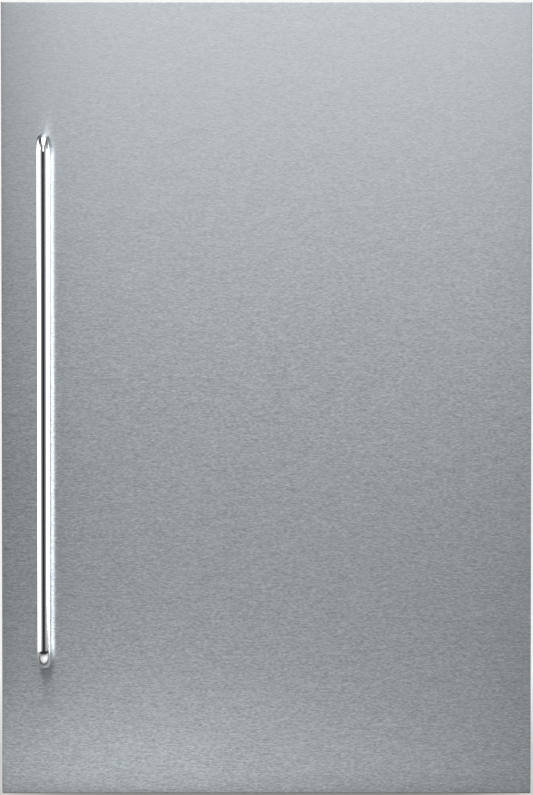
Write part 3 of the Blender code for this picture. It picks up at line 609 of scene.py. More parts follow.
def make_handle():
    """A polished round bar, bent back at both ends to stand on the panel."""
    low, high = extent("handle_bar")
    radius = (high.x - low.x) / 2
    x, bar_y = (low.x + high.x) / 2, low.y + radius
    top, bottom = high.z - radius, low.z + radius
    corners = [(x, high.y, top), (x, bar_y, top), (x, bar_y, bottom), (x, high.y, bottom)]
    shape = bmesh.new()
    swept(shape, softened(corners, 13.0, 24), radius, 72)
    piece("polished_handle", shape, "polished", "handle_bar", "door", weighted=False)


def make_door_liner():
    """A vacuum-formed sheet with two upright dykes, and the lugs on them that carry the bins."""
    dyke, dyke_ends, lug, lug_steps, lug_deep = (205.0, 225.0), (90.0, 780.0), (192.0, 206.5), (8, 42), 16
    low, high = extent("door_liner")
    face = extent("door_shell")[1].y
    shape = bmesh.new()
    block(shape, low, (high.x, face, high.z), 0.8, 9, "Y")
    for side in (-1, 1):
        edges = sorted(side * x for x in dyke)
        profile = [(-1.6, face - 1), (-0.4, face + 0.4), (2.2, high.y), (9, high.y)]
        profile = softened(profile, [0, 1.0, 5.5, 0], 5)
        moulded(shape, (edges[0], dyke_ends[0]), (edges[1], dyke_ends[1]), "Y", profile, 8)
        for bin_floor in BIN_FLOORS:
            reach = sorted(side * x for x in lug)
            for start in (face + step for step in lug_steps):
                lug_low = (reach[0], start, bin_floor - 7)
                block(shape, lug_low, (reach[1], start + lug_deep, bin_floor - 0.4), 1.4, 3, "X")
    piece("door_inner_sheet", shape, "white", "door_liner", "door")


def make_gasket():
    """A magnetic seal: its foot in the door, two soft folds, and the bar that meets the cabinet."""
    low, high = extent("door_gasket")
    foot, face = low.y, high.y
    section = [
        (5, foot), (13, foot), (13, foot + 1.2), (17, foot + 2.6), (14.4, foot + 3.9), (17.6, foot + 5.4),
        (17.6, face), (0.8, face), (0.4, foot + 7.2), (3.6, foot + 5.2), (0.8, foot + 3.4), (5, foot + 1.6),
    ]
    section = softened(section, 0.7, 3, closed=True)
    shape = bmesh.new()
    moulded(shape, low.xz, high.xz, "Y", section, 4, wrap=True)
    piece("magnetic_gasket", shape, "seal", "door_gasket", "door", weighted=False)


def floor_ribs(shape, count, pitch, low, high):
    """Low ribs along y, as many on each side of the middle one. low and high bound them in y and z."""
    for k in range(-count, count + 1):
        block(shape, (k * pitch - 1.0, *low), (k * pitch + 1.0, *high), 0.6, 0.9)


def tub_section(floor, rim, flat, draft, lip, lip_depth, lip_width, steps):
    """Half a section through a clear tub: drawn in by draft towards its floor, with a thicker lip round its
    rim. flat is how far in from the sides its plain floor starts."""
    wall, neck = 2.6, rim - lip_depth
    section = [
        (flat, floor), (draft, floor), (lip, neck), (0, neck + 1), (0, rim), (lip_width, rim),
        (lip + 2.8, neck), (draft + wall, floor + wall), (flat + 3, floor + wall),
    ]
    return softened(section, [0, draft, 0.8, 0.8, 1.4, 1.4, 2, draft - 1, 0], steps)


def make_bins():
    """Clear moulded bins: drawn in towards the floor, with a thicker rim."""
    for number in (1, 2, 3):
        low, high = extent(f"door_bin_{number}")
        floor, rim = low.z, high.z
        profile = tub_section(floor, rim, 34, 6, 1.2, 9, 3.2, 4)
        shape = bmesh.new()
        moulded(shape, low.xy, high.xy, "Z", profile, 16)
        floor_ribs(shape, 3, 50.0, (low.y + 12, floor + 2), (high.y - 12, floor + 4))
        piece(f"bin_{number}", shape, "clear", f"door_bin_{number}", "door")


def make_hinge_parts():
    """The soft-edged cover on the upper hinge, and three screws under the lower hinge's bracket."""
    low, high = extent("hinge_cap")
    top = high.z
    profile = softened([(0, low.z), (0, top), (30, top)], [0, 2.6, 0], 6)
    profile = [(2, low.z), *profile[:-1], (12, top)]
    shape = bmesh.new()
    moulded(shape, low.xy, high.xy, "Z", profile, 7)
    piece("hinge_cover", shape, "grey", "hinge_cap")
    low, high = extent("hinge_bracket_bottom")
    near, far = high.y - 36, high.y - 8
    places = [(low.x + 8, far, low.z), (high.x - 8, far, low.z), (low.x + 8, near, low.z)]
    fixings("hinge_screws", places, (0, 0, -1), 4.2)


# ---------------------------------------------------------------- the cabinet
def make_casing():
    """The top and the back, pressed with stiffening beads, and the screws that hold them."""
    low, high = extent("back_panel")
    reach_x, foot, head = 205.0, low.z + 60, high.z - 60
    beads = [((x, foot), (x, head)) for x in (-reach_x, -reach_x / 3, reach_x / 3, reach_x)]
    shape = bmesh.new()
    pressed_sheet(shape, low.xz, high.xz, "Y", low.y, high.y, beads, 2.2)
    piece("back_sheet", shape, "galvanised", "back_panel", weighted=False)
    heights = [low.z + share * (high.z - low.z) for share in (0.03, 0.27, 0.5, 0.73, 0.97)]
    plate_low, plate_high = extent("compressor_plate")
    places = [(x, high.y, z) for x in (low.x + 9, high.x - 9) for z in heights]
    places += [(x, high.y, high.z - 9) for x in (-150.0, 0.0, 150.0)]
    places += [(x, plate_high.y, plate_low.z + 14) for x in (-262.0, 262.0)]
    fixings("rear_screws", places, (0, 1, 0))

    low, high = extent("top_panel")
    beads = [((-190.0, low.y + 90), (-190.0, high.y - 60)), ((190.0, low.y + 90), (190.0, high.y - 60))]
    shape = bmesh.new()
    pressed_sheet(shape, low.xy, high.xy, "Z", low.z, high.z, beads, 1.6)
    piece("top_sheet", shape, "painted", "top_panel", weighted=False)
    places = [(x, high.y - 12, high.z) for x in (low.x + 14, -90.0, 90.0, high.x - 14)]
    fixings("top_screws", places, (0, 0, 1))


def make_liner():
    """The vacuum-formed food compartment, stepped over the machine compartment, with its shelf ledges."""
    low, high = extent("inner_liner")
    wall, front = 2.0, low.y
    side, floor, ceiling, back = high.x - wall, low.z + wall, high.z - wall, high.y - wall
    step_front, step_floor = STEP_FRONT, extent("crisper_lid")[0].z - GAP
    outline = [
        (front, floor), (step_front, floor), (step_front, step_floor), (back, step_floor),
        (back, ceiling), (front, ceiling),
    ]
    bend = 14.0
    shape = bmesh.new()
    loops = []
    for x, inset in rounded_ends(-side, side, bend, 6):
        inside = max(bend - inset, 1.0)
        radii = [0, inside, 6 + inset, inside, inside, 0]
        ring = softened(drawn_in(outline, inset, closed=False), radii, 6)
        loops.append([shape.verts.new((x, a, b)) for a, b in ring])
    bridge(shape, loops, ring=False, ends=True)
    bmesh.ops.recalc_face_normals(shape, faces=shape.faces)
    lowest = min(shape.faces, key=lambda face: face.calc_center_median().z)
    facing_in = lowest.normal.z > 0
    liner = piece("food_compartment", shape, "white", "inner_liner", weighted=False)
    thick = liner.modifiers.new("sheet", "SOLIDIFY")
    thick.thickness = wall * MM
    thick.offset = -1 if facing_in else 1
    thick.use_even_offset = True
    liner.modifiers.new("normals", "WEIGHTED_NORMAL").keep_sharp = True

    shape = bmesh.new()
    lip = [(-8, front), (0, front), (0, front + 1.5), (-8, front + 1.5)]
    moulded(shape, (-side, floor), (side, ceiling), "Y", lip, bend, wrap=True)
    piece("liner_lip", shape, "white")

    shape = bmesh.new()
    glass_low, glass_high = extent("shelf_glass_1")
    levels = [(level, glass_high.y) for level in (*SHELF_LEVELS, *SPARE_LEVELS)]
    levels.append((step_floor + GAP, step_front + 1))
    for out in (-1, 1):
        edges = sorted((out * (side + 1), out * (side - 8)))
        for level, end in levels:
            ledge_low = (edges[0], glass_low.y - 4, level - 6)
            block(shape, ledge_low, (edges[1], end, level - GAP), 1.8, 2.6, "X")
    piece("shelf_ledges", shape, "white")


def make_shelves():
    """Toughened glass with ground edges, and the aluminium strips pushed onto it."""
    for number in (1, 2):
        low, high = extent(f"shelf_glass_{number}")
        shape = bmesh.new()
        block(shape, low, high, 1.1, 5)
        piece(f"glass_shelf_{number}", shape, "glass", f"shelf_glass_{number}")
        trim_low, trim_high = extent(f"shelf_trim_{number}")
        front, back, level = trim_low.y, trim_high.y, low.z
        outline = [
            (front, trim_low.z), (back, trim_low.z), (back, level - GAP), (low.y - GAP, level - GAP),
            (low.y - GAP, high.z + GAP), (back, high.z + GAP), (back, trim_high.z), (front, trim_high.z),
        ]
        radii = [2.2, 0.5, 0.3, 0.3, 0.3, 0.3, 0.7, 3.4]
        shape = bmesh.new()
        extruded(shape, softened(outline, radii, 4, closed=True), "X", trim_low.x, trim_high.x)
        for y in (front + 3.2, front + 6.2):
            block(
                shape, (trim_low.x + 1, y, trim_high.z - 0.4), (trim_high.x - 1, y + 1, trim_high.z + 0.4),
                0.25, 0.4,
            )
        piece(f"shelf_edge_{number}", shape, "aluminium", f"shelf_trim_{number}")
    low, high = extent("crisper_lid")
    shape = bmesh.new()
    block(shape, low, high, 1.1, 5)
    piece("crisper_glass", shape, "glass", "crisper_lid")


def make_crisper():
    """A clear drawer, drawn in towards its floor, with a lipped rim, a ribbed floor and a grip."""
    low, high = extent("crisper_drawer")
    floor, rim, front = low.z, high.z, low.y + 10.0
    profile = tub_section(floor, rim, 40, 9, 1.6, 12, 3.4, 5)
    shape = bmesh.new()
    moulded(shape, (low.x, front), high.xy, "Z", profile, 20, 8)
    floor_ribs(shape, 6, 30.0, (front + 26, floor + 2), (high.y - 26, floor + 4.2))
    grip_low = Vector((-70, low.y, rim - 16))
    profile = softened([(12, rim), (0, rim), (0, grip_low.z), (3, grip_low.z), (3, rim - 3), (14, rim - 3)],
                       [0, 2.4, 1.2, 1.2, 1.5, 0], 4)
    moulded(shape, grip_low.xy, (70, front + 14), "Z", profile, 7)
    piece("crisper", shape, "clear", "crisper_drawer", "drawer")


def make_controls():
    """The ceiling unit, its ribbed lamp lens, the fluted knob with its dial marks, and the light switch."""
    low, high = extent("control_housing")
    front, back = low.y, high.y
    outline = [
        (back, high.z), (front, high.z), (front, low.z + 6), (front + 12, low.z), (back - 12, low.z),
    ]
    shape = bmesh.new()
    loops = []
    for x, inset in rounded_ends(low.x, high.x, 3, 4):
        ring = softened(drawn_in(outline, inset), [0.6, 1.2, 5, 7, 7], 5, closed=True)
        loops.append([shape.verts.new((x, a, b)) for a, b in ring])
    bridge(shape, loops, ends=True)
    piece("control_unit", shape, "white", "control_housing")

    lens_low, lens_high = extent("lamp_lens")
    ribs, pitch = 40, (lens_high.x - lens_low.x - 6) / 40
    outline = [(lens_high.x, lens_high.z), (lens_low.x, lens_high.z), (lens_low.x, lens_low.z + 1)]
    for k in range(ribs):
        outline.append((lens_low.x + 3 + (k + 0.25) * pitch, lens_low.z))
        outline.append((lens_low.x + 3 + (k + 0.75) * pitch, lens_low.z + 0.7))
    outline.append((lens_high.x, lens_low.z + 1))
    shape = bmesh.new()
    extruded(shape, outline, "Y", lens_low.y, lens_high.y, 0.15)
    piece("ribbed_lens", shape, "lamp", "lamp_lens", angle=20, weighted=False)

    knob_low, knob_high = extent("temperature_knob")
    radius, middle = (knob_high.x - knob_low.x) / 2, (knob_low + knob_high) / 2
    foot, depth = (middle.x, knob_high.y, middle.z), knob_high.y - knob_low.y - 1

    def flutes(angle):
        return 1 - 0.035 * max(0.0, math.cos(18 * angle))

    profile = softened([(0, depth), (radius * 0.9, depth), (radius, depth - 1.4)], 1.0, 3)
    profile += [(radius, depth - 2.4, flutes), (radius, 1.5, flutes), (radius, 0.8), (radius * 0.96, 0)]
    profile.append((0, 0))
    shape = bmesh.new()
    turned(shape, profile, foot, (0, -1, 0), 144)
    ridge_low = (middle.x - 1.6, knob_low.y, middle.z - 8.4)
    block(shape, ridge_low, (middle.x + 1.6, knob_low.y + 2.5, middle.z + 8.4), 0.7, 1.5, "Y")
    piece("knob_cap", shape, "grey", "temperature_knob", "knob")
    shape = bmesh.new()
    for k in range(7):
        turn = math.radians(-120 + 40 * k)
        place = (middle.x + 11.6 * math.sin(turn), front, middle.z + 11.6 * math.cos(turn))
        size = 0.45 + 0.07 * k
        turned(shape, [(0, -0.5), (size, -0.5), (size, 0.1), (size * 0.7, 0.3), (0, 0.35)], place,
               (0, -1, 0), 16)
    piece("dial_dots", shape, "grey")

    low, high = extent("light_switch_body")
    shape = bmesh.new()
    block(shape, low, high, 1.6, 2.4, "Y")
    centre = ((low.x + high.x) / 2, low.y, extent("light_switch_plunger")[0].z + 3)
    collar = [(3.4, -1), (5.6, -1), (5.6, 0.9), (5.0, 1.4), (3.9, 1.4), (3.4, 0.9)]
    turned(shape, collar, centre, (0, -1, 0), 32, wrap=True)
    piece("switch_case", shape, "white", "light_switch_body")
    low, high = extent("light_switch_plunger")
    middle = (low + high) / 2
    length = high.y - low.y
    profile = softened([(0, length), (3, length), (3, 0), (0, 0)], [0, 1.8, 0.3, 0], 5)
    shape = bmesh.new()
    turned(shape, profile, (middle.x, high.y, middle.z), (0, -1, 0), 32)
    piece("switch_pin", shape, "white", "light_switch_plunger", "switch_plunger")


# ---------------------------------------------------------------- cooling
def make_duct():
    """The blades over the duct cover's slots, and the fan behind them."""
    low, high = extent("duct_cover")
    root, tip, slot_pitch = low.y + 0.6, low.y - 3.6, 14
    shape = bmesh.new()
    for start, stop, half in ((650, 732, 45), (310, 362, 100)):
        for z in range(start, stop, slot_pitch):
            blade = [(root, z + 8.6), (tip, z + 0.9), (tip, z - 0.6), (root, z + 6.6)]
            blade = softened(blade, 0.6, 3, closed=True)
            extruded(shape, blade, "X", -half - 2, half + 2, 0.3)
    piece("duct_blades", shape, "white")

    low, high = extent("fan_rotor")
    centre = (low + high) / 2
    hub = [(0, 8), (11, 8), (15.4, 6.4), (16, 4), (16, -8), (14.5, -8), (14.5, -5), (0, -5)]
    shape = bmesh.new()
    turned(shape, softened(hub, [0, 2, 1.5, 2, 0.6, 0.6, 0.8, 0], 3), centre, (0, -1, 0), 48)
    rings, spans = 9, 7
    for blade in range(7):
        loops = []
        for k in range(rings):
            share = k / (rings - 1)
            radius = 14.5 + share * (FAN_REACH - 14.5)
            pitch = math.radians(50 - 24 * share)
            chord = 17 + 5 * math.sin(math.pi * share * 0.8)
            lean = math.tau * blade / 7 + 0.28 * share
            ring = []
            for n in range(spans * 2):
                across = n if n < spans else 2 * spans - 1 - n
                u = across / (spans - 1) - 0.5
                thick = 0.7 * math.sqrt(max(1 - (2 * u) ** 2, 0)) + 0.12
                lift = 2.0 * (1 - (2 * u) ** 2) + (thick if n < spans else -thick)
                along, out = u * chord * math.cos(pitch), u * chord * math.sin(pitch)
                along -= lift * math.sin(pitch)
                out += lift * math.cos(pitch)
                turn = lean + along / radius
                place = (radius * math.sin(turn), out, radius * math.cos(turn))
                ring.append(shape.verts.new(Vector(place) + centre))
            loops.append(ring)
        bridge(shape, loops, ends=True)
    piece("fan_wheel", shape, "black_plastic", "fan_rotor", "rotor")


def make_compressor():
    """The pressed can with its welded seam, its feet on rubber, the pipe stubs and the relay box."""
    can_low, can_high = extent("compressor_shell")
    plate = extent("compressor_plate")[0].z + 2
    middle = (can_low + can_high) / 2
    half_length, half_width, top = (can_high.x - can_low.x) / 2, 72.0, can_high.z
    bottom, seam = can_low.z + 1, can_low.z + 79.0
    outline = [
        (0, top), (20, top), (half_width * 0.62, top - 5), (half_width * 0.9, top - 22),
        (half_width - 4, seam + 8), (half_width - 3.6, seam + 3.4), (half_width, seam + 3),
        (half_width, seam - 3), (half_width - 3.6, seam - 3.4), (half_width - 4, seam - 8),
        (half_width - 6, bottom + 26), (half_width * 0.7, bottom + 5), (16, bottom), (0, bottom),
    ]
    radii = [0, 30, 26, 30, 6, 1.2, 1.4, 1.4, 1.2, 6, 22, 20, 8, 0]
    shape = bmesh.new()
    reach = half_length / half_width
    turned(shape, softened(outline, radii, 5), (middle.x, middle.y, 0), sides=96, stretch=(reach, 1))
    weld = [(half_width - 5, seam + 5), (half_width - 1.4, seam + 4.6), (half_width - 4.5, seam + 7.4)]
    weld = softened(weld, 1.2, 4, closed=True)
    turned(shape, weld, (middle.x, middle.y, 0), sides=96, wrap=True, stretch=(reach, 1))
    for side in (-1, 1):
        edges = sorted((middle.y + side * 66.0, middle.y + side * 46.0))
        leg_low = (can_low.x + 2, edges[0], can_low.z)
        block(shape, leg_low, (can_high.x - 2, edges[1], can_low.z + 2.5), 0.8, 9)
    piece("compressor_can", shape, "black", "compressor_shell")

    studs = [(middle.x + i * 88.0, middle.y + j * 56.0) for i in (-1, 1) for j in (-1, 1)]
    height = can_low.z + 5.5 - plate
    grommet = [
        (0, 0), (9, 0), (9, 3), (7.4, 4.2), (7.4, height - 5.2), (9, height - 4), (9, height), (0, height),
    ]
    shape = bmesh.new()
    for x, y in studs:
        turned(shape, softened(grommet, 0.9, 3), (x, y, plate), sides=32)
    piece("compressor_grommets", shape, "seal")
    fixings("compressor_nuts", [(x, y, plate + height) for x, y in studs], (0, 0, 1), 6.2, NUT)

    shape = bmesh.new()
    for y, z, reach in ((middle.y, 130.0, 9.0), (middle.y, 95.0, 9.0), (middle.y - 26, 116.0, 26.0)):
        start = Vector((can_high.x - 9, y, z))
        swept(shape, [start, start + Vector((9 + reach, 0, 0))], 4.6 if reach < 10 else 3.0, 24, 1.2)
    piece("pipe_stubs", shape, "copper")

    low, high = extent("relay_box")
    shape = bmesh.new()
    block(shape, low, (high.x, high.y, high.z - 9), 2.0, 6)
    block(shape, (low.x - 1.2, low.y - 1.2, high.z - 10), (high.x, high.y + 1.2, high.z), 2.4, 7)
    for k in range(5):
        rib = (low.x - 0.9, low.y + 8 + 8 * k, low.z + 8)
        block(shape, rib, (low.x + 1, low.y + 10.4 + 8 * k, high.z - 14), 0.5, 0.8, "X")
    gland = [(0, -1), (6.5, -1), (6.5, 6), (5.4, 8), (3.6, 8.4), (3.6, 2), (0, 2)]
    turned(shape, gland, (middle.x - half_length - 22, middle.y - 7, low.z), (0, 0, -1), 32)
    piece("relay_case", shape, "black_plastic", "relay_box")


def make_condenser():
    """Fine wires on both faces of the tube, the two cross bars, and the feet that hold them off the back."""
    low, high = extent("condenser_wires")
    tube, wire, wires, first, pitch = 2.5, 0.8, 41, -210.0, 10.5
    plane = extent("condenser_tube")[1].y - tube
    shape = bmesh.new()
    for k in range(wires):
        x = first + pitch * k
        face = plane + (tube + wire) * (1 if k % 2 == 0 else -1)
        swept(shape, [(x, face, low.z + 1), (x, face, high.z - 1)], wire, 8)
    bar_y = high.y - 1.9
    for z in (low.z + 2, high.z - 2):
        swept(shape, [(low.x + 2, bar_y, z), (high.x - 2, bar_y, z)], 1.9, 16, 1.0)
        for x in (low.x + 5, high.x - 5):
            outline = [(x - 5, z - 6), (x + 5, z - 6), (x + 5, z + 6), (x - 5, z + 6)]
            outline = softened(outline, 2.5, 4, closed=True)
            extruded(shape, outline, "Y", low.y, low.y + 1.6, 0.3)
            swept(shape, [(x, low.y, z), (x, bar_y, z)], 2.2, 16)
    piece("condenser_grid", shape, "black", "condenser_wires", weighted=False)

    low, high = extent("filter_drier")
    middle, length = (low + high) / 2, high.z - low.z
    profile = [
        (0, length), (2.6, length), (3.3, length - 10), (9, length - 19), (9, length - 26),
        (8.4, length - 27.5), (9, length - 29), (9, 29), (8.4, 27.5), (9, 26), (9, 19), (3.3, 11), (2.6, 0),
        (0, 0),
    ]
    shape = bmesh.new()
    turned(shape, softened(profile, [0, 0.5, 3, 4, 1, 1, 1, 1, 1, 1, 4, 3, 0.5, 0], 4),
           (middle.x, middle.y, low.z), sides=48)
    piece("drier", shape, "copper", "filter_drier")


def make_drain():
    """The shallow tray on the compressor and the ribbed hose that drips into it."""
    low, high = extent("evaporation_tray")
    floor, rim = low.z, high.z
    profile = [
        (24, floor), (7, floor), (2.4, rim - 4), (0, rim - 3), (0, rim - 0.4), (0.4, rim), (4.0, rim),
        (9, floor + 2), (27, floor + 2),
    ]
    shape = bmesh.new()
    profile = softened(profile, [0, 6, 1, 0.6, 0.3, 0.3, 1, 5, 0], 4)
    moulded(shape, low.xy, high.xy, "Z", profile, 18, 8)
    piece("drip_tray", shape, "black", "evaporation_tray", look=LOOKS["black_plastic"])

    low, high = extent("drain_hose")
    middle = (low + high) / 2
    outer = [(11, high.z), (11, high.z - 1.5)]
    folds = 12
    for k in range(folds * 2):
        z = high.z - 3 - (high.z - low.z - 5) * k / (folds * 2)
        outer.append((7.0 if k % 2 == 0 else 6.1, z))
    profile = [(5.2, high.z), *outer, (6.6, low.z), (5.2, low.z)]
    shape = bmesh.new()
    turned(shape, profile, (middle.x, middle.y, 0), sides=32, wrap=True)
    piece("ribbed_hose", shape, "grey", "drain_hose", angle=60, weighted=False)


def make_inlet():
    """A flanged appliance inlet with three flat pins, held by two screws."""
    low, high = extent("mains_inlet")
    back = high.y
    profile = [
        (13, low.y), (7, low.y), (7, back - 2), (0, back - 2), (0, back), (9.4, back), (9.8, low.y + 3),
        (14, low.y + 3),
    ]
    shape = bmesh.new()
    profile = softened(profile, [0, 1.5, 0.4, 0.5, 0.8, 1.0, 0.8, 0], 3)
    moulded(shape, low.xz, high.xz, "Y", profile, 11)
    piece("inlet_case", shape, "black_plastic", "mains_inlet")
    middle = (low + high) / 2
    shape = bmesh.new()
    for x, z in ((-7, -2.5), (0, 2.5), (7, -2.5)):
        pin_low = (middle.x + x - 1, low.y + 2, middle.z + z - 2.2)
        block(shape, pin_low, (middle.x + x + 1, back - 7, middle.z + z + 2.2), 0.6, 0.9, "Y")
    places = [(middle.x + side * 18.2, back, middle.z) for side in (-1, 1)]
    fixings("inlet_pins", places, (0, 1, 0), 2.8, shape=shape)


def make_feet():
    """Levelling feet: a soft-edged pad, a hexagon to turn it by, and a threaded stud."""
    pitch, turns, sides, steps, root, thread = 2.0, 14, 32, 6, 4.1, 0.7
    for name in [node for node in NODES if node.startswith("foot_")]:
        low, high = extent(name)
        middle = (low + high) / 2
        short = "".join(word[0] for word in name.split("_")[1:])
        shape = bmesh.new()
        pad = [(0, 0), (15.4, 0), (18, 2.2), (18, 9), (15.6, 12), (10.4, 12.6)]
        pad = softened(pad, [0, 1, 1.6, 1.6, 2, 0], 4)
        profile = [*pad, (10.2, 12.8, hexagon), (10.2, 18, hexagon), (8.6, 18.8), (0, 18.8)]
        turned(shape, profile, (middle.x, middle.y, low.z), sides=48)
        loops = []
        for k in range(turns * steps + 1):
            ring = []
            for n in range(sides):
                share = n / sides
                crest = abs(2 * (k / steps - share - math.floor(k / steps - share)) - 1)
                radius = root + thread * crest
                a, z = math.tau * share, low.z + 18.5 + pitch * k / steps
                place = (middle.x + radius * math.cos(a), middle.y + radius * math.sin(a), z)
                ring.append(shape.verts.new(place))
            loops.append(ring)
        bridge(shape, loops, ends=True)
        piece("levelling_" + short, shape, "black_plastic", name, "foot_" + short, weighted=False)


def make_pieces():
    for make in (
        make_door_sheets, make_door_liner, make_gasket, make_bins, make_hinge_parts, make_casing, make_liner,
        make_shelves, make_crisper, make_controls, make_duct, make_compressor, make_condenser, make_drain,
        make_inlet, make_feet,
    ):
        make()


# ---------------------------------------------------------------- the room
SURROUND = (0.90, 0.90, 0.895)
# How bright the studio's walls look in a shiny surface, from straight ahead of the door (0) to behind it (1).
STUDIO_WALL = ((0.0, 0.008), (0.047, 0.24), (0.14, 0.72), (0.3, 0.6), (0.5, 0.3), (1.0, 0.3))
# Ramps over the floor, (low, high, start, end), with start and end in metres. "ahead" is counted from the
# middle of the part towards the camera, "across" to the right, and "out" to all sides.
# The first five ramps paint light and shade on the floor as shiny surfaces see it: a pool of light before the
# door, a lighter floor under the part and shade around them.
FLOOR = {
    "lit ahead": (0.2, 1.5, 0.30, 0.365),
    "dark further ahead": (1.0, 0.03, 0.47, 0.68),
    "dark to the right": (1.0, 0.25, -0.1, 0.3),
    "dark to the left": (0.3, 1.0, -0.5, -0.22),
    "lit under the part": (0.8, 0.0, 0.15, 0.27),
    "surround, out": (0.3, 1.0, 0.45, 1.15),
    "gone, out": (0.0, 1.0, 1.1, 1.7),
}
# Where each light stands, what it is aimed at and its two sides, in metres, and its power in watts.
LIGHTS = {
    "left": ((-1.24, -0.46, 0.72), (-0.24, -0.46, 0.72), (1.48, 1.4), 12.5),
    "right": ((1.36, -0.82, 0.56), (-0.24, -0.82, 0.56), (1.09, 1.08), 20),
    "front": ((0.07, -3.2, 2.2), (0.07, -0.3, 0.5), (1.2, 2.5), 16.9),
    "sky": ((0.0, -0.05, 3.2), (0.0, -0.05, 0.4), (2.2, 4.9), 80),
    "rear_left": ((-2.3, 2.6, 1.7), (0.0, 0.2, 0.45), (2.4, 2.4), 36),
    "rear_right": ((2.5, 2.2, 1.7), (0.0, 0.2, 0.45), (2.4, 2.4), 28),
}


def floor_look():
    """Pale to the eye, and faded into the surround a little way out. Shiny surfaces see painted light on it:
    a bright pool in a patch before the door and a lighter floor under the part, with painted shade between
    and around them, and nothing further out. From below the camera sees through it."""
    look = Look("floor_pale", (0.66, 0.66, 0.655), 0.65, Specular_IOR_Level=0.0)
    look.shade(look.noise(1.5, 3), 0.01)
    look.bump(look.noise(220, 3), 0.0001, 0.2)
    ray = look.node("LightPath").outputs
    camera, glossy = ray["Is Camera Ray"], ray["Is Glossy Ray"]
    across, back, _ = look.node("SeparateXYZ", [("Vector", look.place())]).outputs
    out = look.node("VectorMath", [(0, look.place())], operation="LENGTH").outputs["Value"]
    ahead = look.sum(back, -1.0, "MULTIPLY")
    # Painted light and shade on the floor, seen only by shiny surfaces: a bright pool before the door, darker
    # around it.
    lit = look.spread(ahead, *FLOOR["lit ahead"])
    for source, ramp in (
        (ahead, "dark further ahead"), (across, "dark to the right"), (across, "dark to the left"),
    ):
        lit = look.sum(lit, look.spread(source, *FLOOR[ramp]), "MULTIPLY")
    lit = look.sum(lit, look.spread(ahead, *FLOOR["lit under the part"]), "MAXIMUM")
    # The painted light and shade lighten or darken the floor's colour for glossy rays only.
    dim = look.sum(look.sum(1.0, lit, "SUBTRACT"), glossy, "MULTIPLY")
    look.tint_by(look.sum(1.0, dim, "SUBTRACT"))
    faded = look.sum(look.spread(out, *FLOOR["surround, out"]), camera, "MULTIPLY")
    below = look.sum(look.node("NewGeometry").outputs["Backfacing"], camera, "MULTIPLY")
    beyond = look.sum(look.spread(out, *FLOOR["gone, out"]), glossy, "MULTIPLY")
    gone = look.sum(below, beyond, "MAXIMUM")
    glow, nothing = look.node("Emission", Color=(*SURROUND, 1.0)), look.node("BsdfTransparent")
    seen = look.node("MixShader", [(0, faded), (1, look.shader.outputs[0]), (2, glow.outputs[0])])
    mix = look.node("MixShader", [(0, gone), (1, seen.outputs[0]), (2, nothing.outputs[0])])
    look.tree.links.new(mix.outputs[0], look.tree.nodes["Material Output"].inputs["Surface"])
    return look.material


def make_floor():
    shape = bmesh.new()
    rings, sides = [], 64
    for radius in (0.0, 0.5, 1.0, 2.0, 4.0, 8.0, 16.0, 40.0):
        angles = [math.tau * k / sides for k in range(sides if radius else 1)]
        rings.append([shape.verts.new((radius * math.cos(a), radius * math.sin(a), 0)) for a in angles])
    bridge(shape, rings)
    bmesh.ops.recalc_face_normals(shape, faces=shape.faces)
    if next(iter(shape.faces)).normal.z < 0:
        bmesh.ops.reverse_faces(shape, faces=shape.faces)
    floor = linked("studio_floor", mesh_of("studio_floor", shape))
    floor.data.materials.append(floor_look())


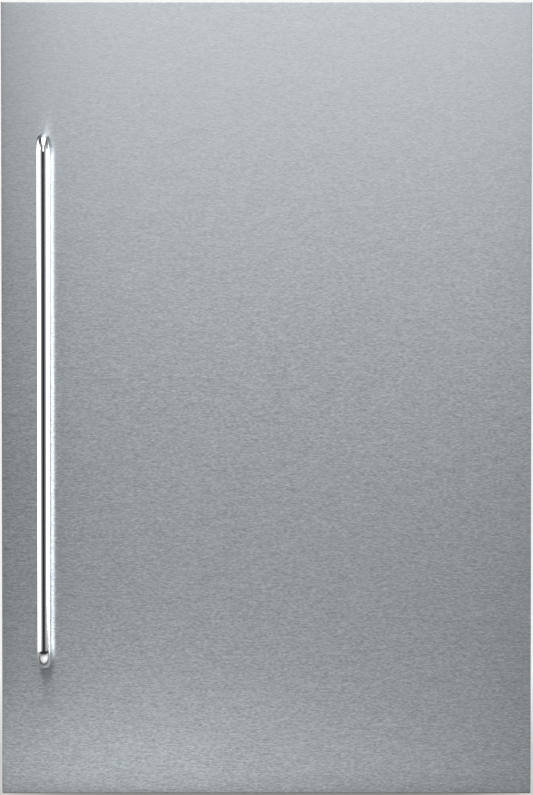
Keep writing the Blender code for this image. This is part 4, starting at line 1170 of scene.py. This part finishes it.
def make_world():
    """A pale backdrop to the camera and a dim light to the rest. Shiny surfaces see the studio's walls, less
    bright high up."""
    world = bpy.data.worlds.new("studio")
    bpy.context.scene.world = world
    world.use_nodes = True
    nodes = Nodes(world.node_tree)
    ray = nodes.node("LightPath").outputs
    way = nodes.node("NewGeometry").outputs["Position"]
    flat = nodes.node("VectorMath", [(0, way), (1, (1, 1, 0))], operation="MULTIPLY").outputs[0]
    level = nodes.node("VectorMath", [(0, flat)], operation="NORMALIZE").outputs[0]
    turn = nodes.spread(nodes.node("SeparateXYZ", [(0, level)]).outputs[1], 0.0, 1.0, -1.0, 1.0)
    wall = nodes.node("ValToRGB", [(0, turn)])
    for place, _ in STUDIO_WALL[1:-1]:
        wall.color_ramp.elements.new(place)
    for stop, (place, grey) in zip(wall.color_ramp.elements, STUDIO_WALL):
        stop.position, stop.color = place, (grey, grey, grey, 1.0)
    height = nodes.node("SeparateXYZ", [(0, way)]).outputs[2]
    seen = nodes.sum(wall.outputs[0], nodes.spread(height, 1.0, 0.3, 0.35, 0.75), "MULTIPLY")
    faint = 0.05
    strength = nodes.spread(ray["Is Glossy Ray"], faint, seen, 0.0, 1.0)
    studio = nodes.node("Background", [("Strength", strength)], Color=(0.95, 0.97, 1.0, 1.0))
    backdrop = nodes.node("Background", Color=(*SURROUND, 1.0))
    feeds = [(0, ray["Is Camera Ray"]), (1, studio.outputs[0]), (2, backdrop.outputs[0])]
    mix = nodes.node("MixShader", feeds)
    nodes.tree.links.new(mix.outputs[0], nodes.tree.nodes["World Output"].inputs["Surface"])


def make_camera():
    """A long lens a little above the middle of the door, as a catalogue picture is taken."""
    low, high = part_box("front_panel")
    view_height = 795 * 1.0792 * MM  # at the door
    distance, rise, tilt = 4.4, 0.145, 1.87
    data = bpy.data.cameras.new("camera")
    data.sensor_width = 36.0
    data.lens = distance / view_height * data.sensor_width
    data.clip_start, data.clip_end = 0.05, 60
    camera = linked("camera", data)
    middle = Vector(((low.x + high.x) / 2, low.y, (low.z + high.z) / 2))
    camera.location = middle + Vector((0, -distance, rise))
    camera.rotation_euler = (math.radians(90 - tilt), 0, 0)
    bpy.context.scene.camera = camera
    view = bpy.context.scene.view_settings
    view.view_transform = "Standard"
    view.look = "None"


def make_lights():
    """Large soft lights, out of the camera's sight."""
    for name, (place, aim, size, power) in LIGHTS.items():
        data = bpy.data.lights.new("light_" + name, "AREA")
        data.shape = "RECTANGLE"
        data.size, data.size_y = size
        data.energy = power
        lamp = linked("light_" + name, data)
        lamp.location = place
        lamp.rotation_euler = (Vector(aim) - Vector(place)).to_track_quat("-Z", "Y").to_euler()
        lamp.visible_camera = False


def main():
    dress_frame()
    make_pieces()
    make_floor()
    make_world()
    make_camera()
    make_lights()


main()
